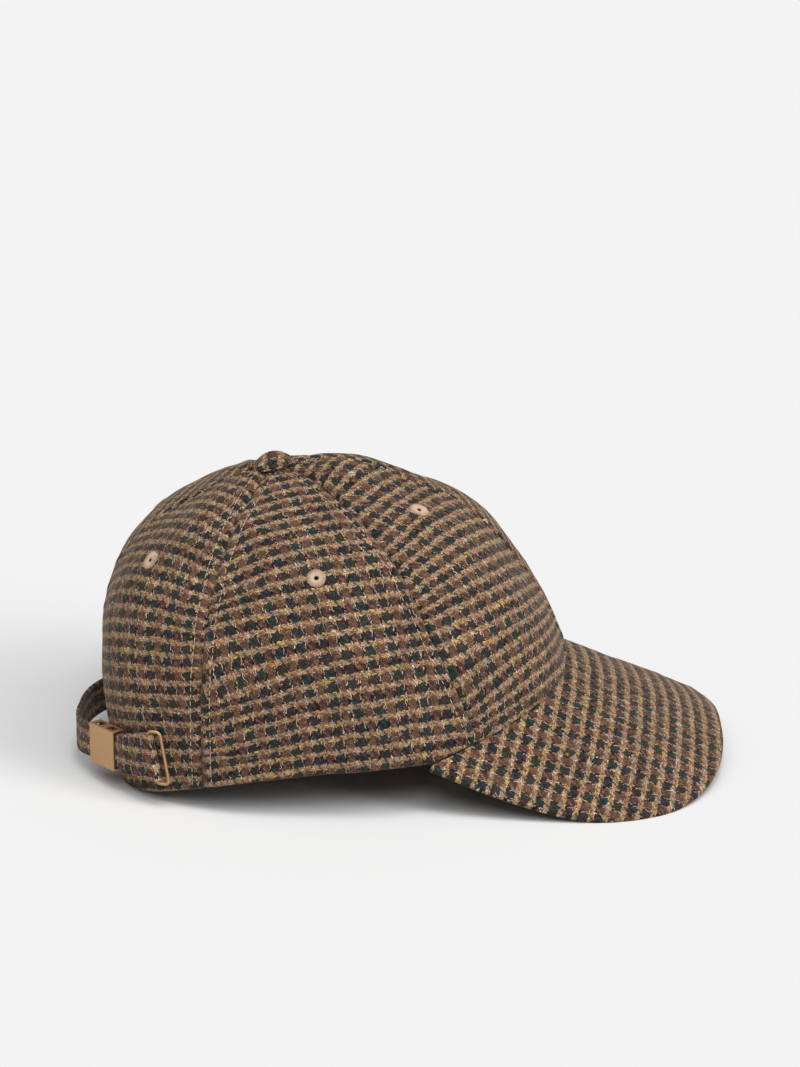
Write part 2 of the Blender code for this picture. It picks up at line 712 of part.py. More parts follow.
def make_clasp(material):
    """Flat gilt sleeve round both layers of the strap, with two slots in its top."""
    start, end, _ = clasp_ends()
    out = Vector(((end - start).y, -(end - start).x, 0.0)).normalized()
    front = STRAP_THICKNESS / 2 + SEAM_GAP
    back = -front - layer_gap()
    level = STRAP_WIDTH / 2 + SEAM_GAP
    inside = (back, front, -level, level)
    outside = (back - CLASP_SHEET, front + CLASP_SHEET, -level - CLASP_SHEET, level + CLASP_SHEET)
    clasp = sleeve("clasp", start, end, out, inside, outside, material)
    middle = start.lerp(end, 0.5)
    along = (end - start).normalized()
    depth = front - back
    for k, share in enumerate((-0.24, 0.24)):
        bpy.ops.mesh.primitive_cube_add(size=1)
        cutter = bpy.context.object
        cutter.name = f"clasp_slot_cutter_{k}"
        place = middle + along * CLASP_LENGTH * share + out * (front + back) / 2
        cutter.location = place + Vector((-PART_MIDDLE_X, 0, level + CLASP_SHEET / 2))
        cutter.rotation_euler = (0, 0, math.atan2(along.y, along.x))
        cutter.scale = (CLASP_SLOT, depth * 0.8, CLASP_SHEET * 6)
        cutter.hide_render = True
        cutter.display_type = "WIRE"
        cut = clasp.modifiers.new(f"slot_{k}", "BOOLEAN")
        cut.object = cutter
        cut.solver = "EXACT"
    return clasp


def make_ring(material):
    """Thin rectangular frame: its inner bar is in the strap's fold, its outer bar lies on the gore."""
    bar, out, along, up = ring_frame()
    reach = RING_WIDTH - RING_WIRE
    rest = RING_WIRE / 2 + RING_CLEARANCE
    fall = (bar - foot_outline(RING_BEARING, bar.z)[0]).dot(out) - rest
    across = (along * reach - out * fall).normalized()
    half = STRAP_TAIL_WIDTH / 2 + RING_MARGIN + RING_WIRE / 2
    corner = RING_WIRE * 1.5
    centre = bar + across * reach / 2
    path = []
    for cx, cy, begin in ((1, 1, 0), (-1, 1, 90), (-1, -1, 180), (1, -1, 270)):
        for step in range(4):
            angle = math.radians(begin + 30 * step)
            a = cx * (reach / 2 - corner) + corner * math.cos(angle)
            u = cy * (half - corner) + corner * math.sin(angle)
            path.append(centre + across * a + up * u)
    sides = 8
    points, faces = [], []
    count = len(path)
    face_out = across.cross(up).normalized()
    for k, place in enumerate(path):
        run = (path[(k + 1) % count] - path[k - 1]).normalized()
        side_way = run.cross(face_out)
        for s in range(sides):
            angle = 2 * math.pi * s / sides
            points.append(place + (side_way * math.cos(angle) + face_out * math.sin(angle)) * RING_WIRE / 2)
    for k in range(count):
        for s in range(sides):
            here, there = k * sides, (k + 1) % count * sides
            nxt = (s + 1) % sides
            faces.append((here + s, there + s, there + nxt, here + nxt))
    return mesh_object("ring", points, faces, material)


def strap_back():
    """How far back the strap's outer face reaches."""
    return min(strap_spine(bearing).x for bearing in range(165, 200)) - STRAP_THICKNESS / 2


PART_MIDDLE_X = (PEAK_TIP_X + strap_back()) / 2


def main():
    clear_scene()
    tweed = fabric("tweed", (0.145, 0.098, 0.058), 0.95)
    thread = fabric("thread", (0.52, 0.38, 0.25), 0.8)
    gilt = fabric("gilt", (0.55, 0.38, 0.20), 0.42, 1.0)
    for side, hand in ((-1, "right"), (1, "left")):
        for gore, row in enumerate(EYELETS):
            row = dict(zip(EYELET_COLUMNS, row))
            name = row["gore"]
            panel = make_panel(f"panel_{name}_{hand}", gore, side, tweed)
            punch_hole(panel, row, side)
            make_eyelet(f"eyelet_{name}_{hand}", row, side, thread)
    make_button(tweed)
    make_peak(tweed)
    make_strap(tweed)
    make_clasp(gilt)
    make_ring(gilt)


main()
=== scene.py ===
# %% [markdown]
# # A tweed baseball cap on a pale floor
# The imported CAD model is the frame: every piece here stands for some of its nodes and keeps to
# their place and form. The gores, the peak and the strap are drawn again from the same formulas
# with a finer grid, rolled edges and a map of the cloth, and one shader group weaves the tweed.

# %%
import math
import bpy
import bmesh
import numpy as np
from mathutils import Matrix, Vector


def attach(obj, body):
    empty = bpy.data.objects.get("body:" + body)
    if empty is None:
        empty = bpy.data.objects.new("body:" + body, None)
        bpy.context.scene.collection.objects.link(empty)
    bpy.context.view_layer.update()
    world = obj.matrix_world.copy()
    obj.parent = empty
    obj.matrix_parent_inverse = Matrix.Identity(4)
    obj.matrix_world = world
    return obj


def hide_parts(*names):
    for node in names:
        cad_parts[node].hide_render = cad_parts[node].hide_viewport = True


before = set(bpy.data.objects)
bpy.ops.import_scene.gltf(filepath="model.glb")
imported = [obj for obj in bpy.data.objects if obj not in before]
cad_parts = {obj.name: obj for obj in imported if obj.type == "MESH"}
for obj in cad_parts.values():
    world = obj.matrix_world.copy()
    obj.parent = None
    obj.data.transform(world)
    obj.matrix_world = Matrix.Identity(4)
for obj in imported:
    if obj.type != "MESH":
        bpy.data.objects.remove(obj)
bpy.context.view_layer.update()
scene = bpy.context.scene

# %% [markdown]
# ## Sizes
# These are the CAD source's own sizes, in metres. Everything is worked out round the middle of the
# crown, then moved by MIDDLE_X, which puts the origin under the middle of the whole cap.

# %%
CROWN_FRONT, CROWN_BACK, CROWN_HALF_WIDTH, CROWN_HEIGHT = 0.1000, 0.1020, 0.0830, 0.1290
BUTTON_X = -0.0270
FRONT_SQUARENESS, BACK_SQUARENESS = 2.05, 2.5
WALL, SEAM_GAP, PANEL_PUFF = 0.0020, 0.0003, 0.0012
FRONT_SEAM_X, SIDE_SEAM_X = 0.0590, -0.0560
FRONT_SEAM_BOW, SIDE_SEAM_BOW, SEAM_FOOT = 10.5, 0.0, 0.18
RIM_FRONT, RIM_CORNER, PEAK_CORNER_X, REST_X, RIM_BOW = 0.0415, 0.0225, 0.0400, -0.0860, 2.3
OPENING_HALF_WIDTH, OPENING_HEIGHT = 0.0430, 0.0470
PEAK_TIP_X, PEAK_TIP_HEIGHT, PEAK_WIDEST_X, PEAK_HALF_WIDTH = 0.1680, 0.0100, 0.1000, 0.0870
PEAK_CORNER_HALF_WIDTH, PEAK_LOWEST_X, PEAK_ROUNDNESS = 0.0805, 0.1200, 2.5
PEAK_THICKNESS, PEAK_SWELL = 0.0034, 0.0006
BUTTON_RADIUS, BUTTON_HEIGHT, BUTTON_SEAT = 0.0088, 0.0056, 0.6
EYELET_RADIUS, EYELET_HOLE_RADIUS, EYELET_RISE = 0.0039, 0.0011, 0.0005
STRAP_WIDTH, STRAP_TAIL_WIDTH, STRAP_THICKNESS = 0.0158, 0.0204, 0.0016
STRAP_BOW, STRAP_HEIGHT, STRAP_RISE, STRAP_CLEARANCE, STRAP_LEAN = 0.0100, 0.0134, 0.0088, 0.0019, 12.0
CLASP_BEARING, CLASP_LENGTH, CLASP_SHEET, CLASP_SLOT = 199.5, 0.0192, 0.0008, 0.0052
RING_BEARING, RING_WIRE, RING_WIDTH, RING_MARGIN, RING_CLEARANCE = 227.5, 0.0013, 0.0068, 0.0006, 0.0012

# climb, then reach and height at the front, the side and the back
PROFILE = np.array((
    (0.00, 1.000, 0.000, 0.985, 0.000, 0.955, 0.000),
    (0.12, 1.000, 0.170, 1.000, 0.170, 0.985, 0.170),
    (0.25, 0.990, 0.345, 1.000, 0.330, 1.000, 0.340),
    (0.37, 0.920, 0.525, 0.975, 0.490, 0.980, 0.510),
    (0.49, 0.820, 0.670, 0.910, 0.640, 0.895, 0.665),
    (0.60, 0.730, 0.785, 0.785, 0.780, 0.718, 0.785),
    (0.70, 0.620, 0.875, 0.595, 0.875, 0.520, 0.865),
    (0.80, 0.460, 0.950, 0.380, 0.940, 0.325, 0.930),
    (0.90, 0.250, 1.015, 0.180, 0.982, 0.160, 0.973),
    (1.00, 0.000, 1.000, 0.000, 1.000, 0.000, 1.000),
))
# bearing in degrees, climb, bearing spread, climb spread, depth as a share of the wall
DENTS = (
    (-24.0, 0.80, 0.055, 0.045, -0.9),
    (-22.0, 0.90, 0.090, 0.060, 0.8),
    (32.0, 0.745, 0.045, 0.050, -1.3),
    (-84.0, 0.42, 0.060, 0.120, -0.5),
    (96.0, 0.36, 0.070, 0.120, -0.6),
    (-140.0, 0.52, 0.050, 0.100, -0.5),
    (146.0, 0.46, 0.050, 0.100, -0.6),
)
# bearing in degrees, standoff and rise of the strap
STRAP_ROUTE = np.array((
    (149.0, -0.39, -0.10), (154.0, -0.39, -0.08), (157.5, -0.35, -0.06), (161.0, 0.00, -0.04),
    (165.0, 0.38, -0.02), (172.0, 0.84, 0.00), (180.0, 1.14, 0.02), (187.0, 1.26, 0.06),
    (193.0, 1.14, 0.18), (199.5, 0.84, 0.38), (205.0, 0.60, 0.45), (212.0, 0.52, 0.56),
    (219.0, 0.50, 0.76), (227.5, 0.61, 1.00),
))
# gore, share across it and climb of each eyelet
EYELETS = (("front", 0.52, 0.735), ("side", 0.48, 0.600), ("back", 0.54, 0.575))

# %% [markdown]
# ## The crown's form
# A point of the crown is named by its bearing, in radians from the front past the wearer's left,
# and its climb, from the resting surface to the button. All of these take whole arrays.

# %%
def read_rows(table, keys):
    """Rows of a table at keys in its first column, on a smooth curve through its rows."""
    keys = np.asarray(keys, float)
    x, y = table[:, 0], table[:, 1:]
    slopes = np.gradient(y, x, axis=0)
    slopes[1:-1] = (y[2:] - y[:-2]) / (x[2:] - x[:-2])[:, None]
    spot = np.clip(np.searchsorted(x, keys, side="left") - 1, 0, len(x) - 2)
    step = (x[spot + 1] - x[spot])[..., None]
    t = np.clip((keys - x[spot])[..., None] / step, 0, 1)
    leave, arrive, rise = slopes[spot] * step, slopes[spot + 1] * step, y[spot + 1] - y[spot]
    return (y[spot] + leave * t + (3 * rise - 2 * leave - arrive) * t ** 2
            + (leave + arrive - 2 * rise) * t ** 3)


def outline(bearing):
    across, along = np.sin(bearing), np.cos(bearing)
    reach = np.where(along > 0, CROWN_FRONT, CROWN_BACK)
    power = 2 / np.where(along > 0, FRONT_SQUARENESS, BACK_SQUARENESS)
    return (np.sign(along) * reach * np.abs(along) ** power,
            np.sign(across) * CROWN_HALF_WIDTH * np.abs(across) ** power)


def outline_bearing(x):
    reach, squareness = (CROWN_FRONT, FRONT_SQUARENESS) if x > 0 else (CROWN_BACK, BACK_SQUARENESS)
    return math.acos(math.copysign(abs(x / reach) ** (squareness / 2), x))


SEAMS = np.array((0.0, outline_bearing(FRONT_SEAM_X), outline_bearing(SIDE_SEAM_X), math.pi))
SEAM_BOWS = np.radians((0.0, FRONT_SEAM_BOW, SIDE_SEAM_BOW, 0.0))
PEAK_CORNER = outline_bearing(PEAK_CORNER_X)


def seam_bearing(seam, climb):
    share = np.clip((climb - SEAM_FOOT) / (1 - SEAM_FOOT), 0, 1)
    return SEAMS[seam] + SEAM_BOWS[seam] * np.sin(math.pi * share)


def cloth_swell(bearing, climb):
    """How far the gores swell and dent the smooth form."""
    turn = np.where(np.abs(bearing) <= math.pi, np.abs(bearing), 2 * math.pi - np.abs(bearing))
    front, side, back = (seam_bearing(seam, climb) for seam in (1, 2, 3))
    share = np.where(turn <= front, turn / front, np.where(
        turn <= side, (turn - front) / (side - front), (turn - side) / (back - side)))
    swell = (PANEL_PUFF * np.sin(math.pi * np.clip(share, 0, 1)) ** 2
             * np.sin(math.pi * np.clip(climb, 0, 1)) ** 0.5)
    for centre, level, spread, climb_spread, depth in DENTS:
        off = (np.degrees(bearing) - centre + 180) % 360 - 180
        swell = swell + WALL * depth * line(off / 360, 0, spread) * line(climb, level, climb_spread)
    return swell


def smooth_crown(bearing, climb):
    bearing, climb = np.broadcast_arrays(np.asarray(bearing, float), np.asarray(climb, float))
    row = read_rows(PROFILE, climb)
    along = np.cos(bearing)
    front, back = np.maximum(along, 0) ** 2, np.maximum(-along, 0) ** 2
    side = 1 - front - back
    reach = front * row[..., 0] + side * row[..., 2] + back * row[..., 4]
    height = front * row[..., 1] + side * row[..., 3] + back * row[..., 5]
    x, y = outline(bearing)
    return np.stack((BUTTON_X + (x - BUTTON_X) * reach, y * reach, CROWN_HEIGHT * height), axis=-1)


def unit(v):
    return v / np.maximum(np.linalg.norm(v, axis=-1, keepdims=True), 1e-12)


def form_normal(bearing, climb, form):
    step = 1e-3
    climb = np.clip(climb, step, 1 - 2 * step)
    around = form(bearing + step, climb) - form(bearing - step, climb)
    up = form(bearing, climb + step) - form(bearing, climb - step)
    return unit(np.cross(around, up))


def crown_face(bearing, climb):
    out = form_normal(bearing, climb, smooth_crown)
    return smooth_crown(bearing, climb) + out * cloth_swell(bearing, climb)[..., None]


def rim_height(bearing):
    turn = np.abs(bearing)
    arch = RIM_CORNER + (RIM_FRONT - RIM_CORNER) * np.cos(math.pi / 2 * np.clip(turn / PEAK_CORNER, 0, 1))
    fall = (PEAK_CORNER_X - outline(turn)[0]) / (PEAK_CORNER_X - REST_X)
    return np.where(turn <= PEAK_CORNER, arch, RIM_CORNER * (1 - np.clip(fall, 0, 1) ** RIM_BOW))


def solve(test, low, high):
    """Where a test turns from below zero to above it, by halving, for whole arrays."""
    low, high = np.broadcast_arrays(np.asarray(low, float), np.asarray(high, float))
    low, high = low.copy(), high.copy()
    for _ in range(36):
        middle = (low + high) / 2
        below = test(middle) < 0
        low, high = np.where(below, middle, low), np.where(below, high, middle)
    return (low + high) / 2


def climb_at(bearing, height):
    shape = np.broadcast(np.asarray(bearing), np.asarray(height)).shape
    return solve(lambda c: smooth_crown(bearing, c)[..., 2] - height, np.zeros(shape), np.full(shape, 0.9))


def opening_foot(angle):
    """Bearing and climb of the edge of the half-moon opening."""
    across, height = OPENING_HALF_WIDTH * np.cos(angle), OPENING_HEIGHT * np.sin(angle)
    bearing = solve(lambda b: across - smooth_crown(b, climb_at(b, height))[..., 1],
                    np.full(np.shape(angle), SEAMS[2]), np.full(np.shape(angle), math.pi))
    return bearing, climb_at(bearing, height)


def climb_near_button(bearing, distance):
    def gap(climb):
        place = smooth_crown(bearing, climb)
        return distance - np.hypot(place[..., 0] - BUTTON_X, place[..., 1])
    return solve(gap, np.full(np.shape(bearing), 0.5), np.full(np.shape(bearing), 1.0))


# %% [markdown]
# ## The strap's place
# The strap follows the crown's outline at a standoff. Where it reaches furthest back, the whole cap
# ends, and that sets the middle.

# %%
def foot_outline(bearing, height):
    """Points of the crown's outer face at a height, and their level outward directions."""
    step = 0.01
    turn = np.radians(bearing)
    here, middle, ahead = (smooth_crown(b, climb_at(b, height)) for b in (turn - step, turn, turn + step))
    along = unit((ahead - here)[..., :2])
    return middle, np.stack((along[..., 1], -along[..., 0], 0 * along[..., 0]), -1)


def strap_place(bearing, standoff):
    """Points at a distance off the crown's outer face, at the strap's height."""
    height = STRAP_HEIGHT + STRAP_RISE * read_rows(STRAP_ROUTE, bearing)[..., 1]
    foot, out = foot_outline(bearing, height)
    place = foot + out * np.asarray(standoff)[..., None]
    place[..., 2] = height
    return place, out


def strap_spine(bearing):
    bearing = np.asarray(bearing, float)
    return strap_place(bearing, read_rows(STRAP_ROUTE, bearing)[..., 0] * STRAP_BOW)[0]


MIDDLE_X = (PEAK_TIP_X + strap_spine(np.arange(165.0, 200.0))[:, 0].min() - STRAP_THICKNESS / 2) / 2

# %% [markdown]
# ## Sheets of cloth
# A cloth piece is a grid of points. Distances measured along the grid say how far each point is
# from its edges, so that an edge can roll over like a fold, a seam can sink and a stitch line can
# draw the cloth in. The UV map holds metres along and across the weave.

# %%
def runs(points, axis):
    """Distance along the grid from its first line, in metres."""
    steps = np.linalg.norm(np.diff(points, axis=axis), axis=-1)
    zero = np.zeros_like(np.take(steps, [0], axis=axis))
    return np.concatenate((zero, np.cumsum(steps, axis=axis)), axis=axis)


def grid_normals(points):
    around = np.gradient(points, axis=1)
    up = np.gradient(points, axis=0)
    return unit(np.cross(around, up))


def fold(distance, radius):
    """How far a face falls near an edge that is rolled over with a radius."""
    off = np.clip(radius - distance, 0, radius)
    return radius - np.sqrt(radius ** 2 - off ** 2)


def line(distance, place, width):
    return np.exp(-((distance - place) / width) ** 2)


def waves(points, seed, length, count=6):
    """Smooth irregular waves of about a length, between -1 and 1."""
    rng = np.random.default_rng(seed)
    total = 0
    for _ in range(count):
        turns = points @ unit(rng.normal(size=3)) / (length * rng.uniform(0.7, 1.4))
        total = total + np.sin(turns * 2 * math.pi + rng.uniform(0, 6.3))
    return total / count ** 0.5


def packed_rows(count, ease):
    """Shares from 0 to 1 that crowd together at both ends."""
    share = np.linspace(0, 1, count)
    return (1 - ease) * share + ease * (0.5 - 0.5 * np.cos(math.pi * share))


def add_object(name, data):
    """A new object in the scene."""
    made = bpy.data.objects.new(name, data)
    scene.collection.objects.link(made)
    return made


def add_mesh(name, points, faces, material, uvs=None):
    """A mesh object from points round the crown's middle, with a UV pair for each point."""
    mesh = bpy.data.meshes.new(name)
    mesh.from_pydata((np.asarray(points, float) - (MIDDLE_X, 0, 0)).tolist(), [], faces)
    if uvs is not None:
        layer = mesh.uv_layers.new(name="cloth")
        corners = np.empty(len(mesh.loops), int)
        mesh.loops.foreach_get("vertex_index", corners)
        layer.data.foreach_set("uv", np.asarray(uvs, float)[corners].ravel())
    mesh.shade_smooth()
    mesh.materials.append(material)
    return add_object(name, mesh)


def shell(name, outer, inner, uv, material, turned=False):
    """A closed sheet between an outer and an inner grid that share one cloth map."""
    count = outer.shape[0] * outer.shape[1]
    ids = np.arange(count).reshape(outer.shape[:2])
    a, b, c, d = (part.ravel() for part in (ids[:-1, :-1], ids[:-1, 1:], ids[1:, 1:], ids[1:, :-1]))
    faces = np.concatenate((np.stack((a, b, c, d), 1), np.stack((a, d, c, b), 1) + count)).tolist()
    rim = np.concatenate((ids[0, :-1], ids[:-1, -1], ids[-1, :0:-1], ids[:0:-1, 0])).tolist()
    for here, there in zip(rim, rim[1:] + rim[:1]):
        faces.append((there, here, here + count, there + count))
    if turned:
        faces = [tuple(reversed(face)) for face in faces]
    points = np.concatenate((outer.reshape(-1, 3), inner.reshape(-1, 3)))
    return add_mesh(name, points, faces, material, np.tile(uv.reshape(-1, 2), (2, 1)))


def tube_faces(rings, sides):
    """Faces between rings of points, each with a number of sides."""
    turns = [(s, (s + 1) % sides) for s in range(sides)]
    return [(low + a, low + b, low + sides + b, low + sides + a)
            for low in range(0, (rings - 1) * sides, sides) for a, b in turns]


def arc(across, depth):
    """Length round a circle's arc, from its top to a point that lies across and below it."""
    half = np.arctan2(depth, np.abs(across) + 1e-9)
    bend = np.where(half > 1e-4, half / np.sin(np.maximum(half, 1e-4)), 1.0)
    return np.hypot(across, depth) * bend * np.sign(across)


def map_gore(points, spine, lean):
    """Metres across and along the weave of a gore whose rows cross its spine at right angles.

    The spine is seen in the plane of the gore's outward direction and its leaning up direction, so
    each row is a level slice of the cloth that leans with it.
    """
    out = unit(np.array((*(spine[0] - (BUTTON_X, 0, 0))[:2], 0.0)))
    side = np.cross((0, 0, 1.0), out)
    forward = math.copysign(1, side[0]) if abs(side[0]) > 1e-6 else 1.0
    lateral = side * math.cos(lean) + np.array((0, 0, 1.0)) * math.sin(lean) * forward
    up = np.cross(out, lateral)
    flat = np.stack((spine @ out, spine @ up), 1)
    grid = np.stack((points @ out, points @ up), -1).reshape(-1, 2)
    across = (points @ lateral).reshape(-1) - spine[0] @ lateral
    starts, ways = flat[:-1], flat[1:] - flat[:-1]
    lengths = np.linalg.norm(ways, axis=1)
    ways = ways / lengths[:, None]
    marks = np.concatenate(((0,), np.cumsum(lengths)))[:-1]
    reach = ((grid[:, None, :] - starts) * ways).sum(-1)
    held = np.clip(reach, 0, lengths)
    held[:, 0] = np.minimum(reach[:, 0], lengths[0])
    away = np.linalg.norm(grid[:, None, :] - (starts + ways * held[..., None]), axis=-1)
    best = away.argmin(1)
    rows = np.arange(len(grid))
    uv = np.stack((arc(across, away[rows, best]) * forward, marks[best] + held[rows, best]), 1)
    return uv.reshape(*points.shape[:-1], 2)


# %% [markdown]
# ## Shader building
# A node's output is held as a Value, so that a formula in a group reads like the formula that it is.
# Every step of the formula adds a Math node.

# %%
def srgb(*colour):
    """A linear colour from the 0 to 255 values seen on a screen."""
    shares = (value / 255 for value in colour)
    return (*(s / 12.92 if s <= 0.04045 else ((s + 0.055) / 1.055) ** 2.4 for s in shares), 1.0)


def step(operation, flipped=False):
    """A method that adds a Math node for one of Python's own operators."""
    def method(self, *others):
        values = (*others, self) if flipped else (self, *others)
        return self.nodes.math(operation, *values)
    return method


class Value:
    """One output of a node, which takes part in formulas like a number."""

    __add__, __radd__ = step("ADD"), step("ADD", True)
    __sub__, __rsub__ = step("SUBTRACT"), step("SUBTRACT", True)
    __mul__, __truediv__, __pow__ = step("MULTIPLY"), step("DIVIDE"), step("POWER")
    __mod__, __abs__, __floor__ = step("FLOORED_MODULO"), step("ABSOLUTE"), step("FLOOR")
    __gt__, __lt__ = step("GREATER_THAN"), step("LESS_THAN")

    def __init__(self, nodes, socket):
        self.nodes, self.socket = nodes, socket

    def beside(self, name):
        """Another output of the same node."""
        return Value(self.nodes, self.socket.node.outputs[name])


class Nodes:
    """Adds nodes to one tree. Each method returns an output of the new node."""

    def __init__(self, tree):
        self.tree = tree

    def feed(self, socket, value):
        if isinstance(value, Value):
            self.tree.links.new(value.socket, socket)
        else:
            socket.default_value = value

    def add(self, kind, inputs=None, output=0, **settings):
        node = self.tree.nodes.new(kind)
        for key, value in settings.items():
            setattr(node, key, value)
        for key, value in (inputs or {}).items():
            self.feed(node.inputs[key], value)
        return Value(self, node.outputs[output])

    def math(self, operation, *values):
        return self.add("ShaderNodeMath", dict(enumerate(values)), operation=operation)

    def mix(self, share, first, second, blend="MIX"):
        inputs = {0: share, 6: first, 7: second}
        return self.add("ShaderNodeMix", inputs, 2, data_type="RGBA", blend_type=blend)

    def vector(self, x, y, z):
        return self.add("ShaderNodeCombineXYZ", {0: x, 1: y, 2: z})

    def random(self, x, y, z):
        place = self.vector(x, y, z)
        return self.add("ShaderNodeTexWhiteNoise", {"Vector": place}, "Value", noise_dimensions="3D")

    def noise(self, vector, scale, detail):
        return self.add("ShaderNodeTexNoise", {"Vector": vector, "Scale": scale, "Detail": detail}, "Fac")

    def bump(self, height, strength, distance):
        return self.add("ShaderNodeBump", {"Height": height, "Strength": strength, "Distance": distance})

    def bands(self, value, stops):
        """Screen colours in bands, each from its place on."""
        made = self.add("ShaderNodeValToRGB", {0: value})
        ramp = made.socket.node.color_ramp
        ramp.interpolation = "CONSTANT"
        while len(ramp.elements) < len(stops):
            ramp.elements.new(0.5)
        for element, (place, colour) in zip(ramp.elements, stops):
            element.position, element.color = place, srgb(*colour)
        return made


def new_group(name, family, inputs, outputs):
    """A group's node helper, its inputs (name, kind, default) by name, and its outputs (name, kind)."""
    tree = bpy.data.node_groups.new(name, family + "NodeTree")
    for label, kind, default in inputs:
        socket = tree.interface.new_socket(name=label, in_out="INPUT", socket_type="NodeSocket" + kind)
        if default is not None:
            socket.default_value = default
    for label, kind in outputs:
        tree.interface.new_socket(name=label, in_out="OUTPUT", socket_type="NodeSocket" + kind)
    n = Nodes(tree)
    given = {socket.name: Value(n, socket) for socket in tree.nodes.new("NodeGroupInput").outputs}
    return n, given, tree.nodes.new("NodeGroupOutput").inputs


# %% [markdown]
# ## The weave
# The cloth is a twill check. Warp ends repeat as four teal, two light, four brown, two light, and
# weft picks as five dark, three light, five brown, three light. The yarn on top changes along
# diagonals. Teal and light ends float over three picks, brown ones over two, and the thick light
# picks hide most of the warp, so that they read as pale bands. A light end shows in the dark bands
# only as thin slanting ticks that hang from the band above or rise from the band below.

# %%
YARNS = {
    "light warp": ((0.0, (186, 164, 144)), (0.30, (168, 145, 129)), (0.55, (160, 135, 116)),
                   (0.75, (196, 180, 163)), (0.90, (178, 150, 116))),
    "light weft": ((0.0, (156, 128, 98)), (0.22, (164, 128, 80)), (0.36, (153, 118, 99)),
                   (0.50, (142, 109, 79)), (0.62, (145, 127, 114)), (0.72, (163, 140, 115)),
                   (0.82, (158, 132, 76)), (0.90, (168, 104, 86)), (0.95, (182, 156, 74))),
    "dark warp": ((0.0, (31, 54, 55)), (0.28, (46, 48, 58)), (0.52, (30, 62, 56)), (0.70, (62, 50, 50))),
    "brown warp": ((0.0, (100, 70, 58)), (0.30, (90, 60, 58)), (0.55, (110, 80, 58)),
                   (0.75, (94, 70, 68)), (0.90, (122, 80, 62))),
    "dark weft": ((0.0, (68, 50, 48)), (0.36, (54, 41, 44)), (0.66, (78, 55, 49)), (0.90, (58, 58, 56))),
    "brown weft": ((0.0, (98, 76, 58)), (0.30, (88, 64, 56)), (0.55, (106, 84, 58)), (0.80, (86, 68, 62))),
    "heather": ((0.0, (150, 116, 84)), (0.35, (92, 70, 58)), (0.60, (182, 152, 110)),
                (0.80, (120, 96, 96)), (0.93, (60, 76, 74))),
    "nep": ((0.0, (176, 48, 58)), (0.30, (40, 104, 100)), (0.55, (196, 150, 52)), (0.85, (128, 158, 190))),
}
SCREEN_GAMMA = 2.2               # shading is chosen as it looks on a screen
BAND_ENDS, BAND_PICKS = 6.0, 8.0 # threads in a dark and a light band, and a repeat has two such pairs
LIGHT_END, LIGHT_PICK = 3.5, 4.5 # a band's light threads come after these
TEAL_END, DARK_PICK = 3.5, 6.5   # and a repeat's teal and dark ones before these
HALF_YARN = 0.55                 # half of a yarn's width, in threads


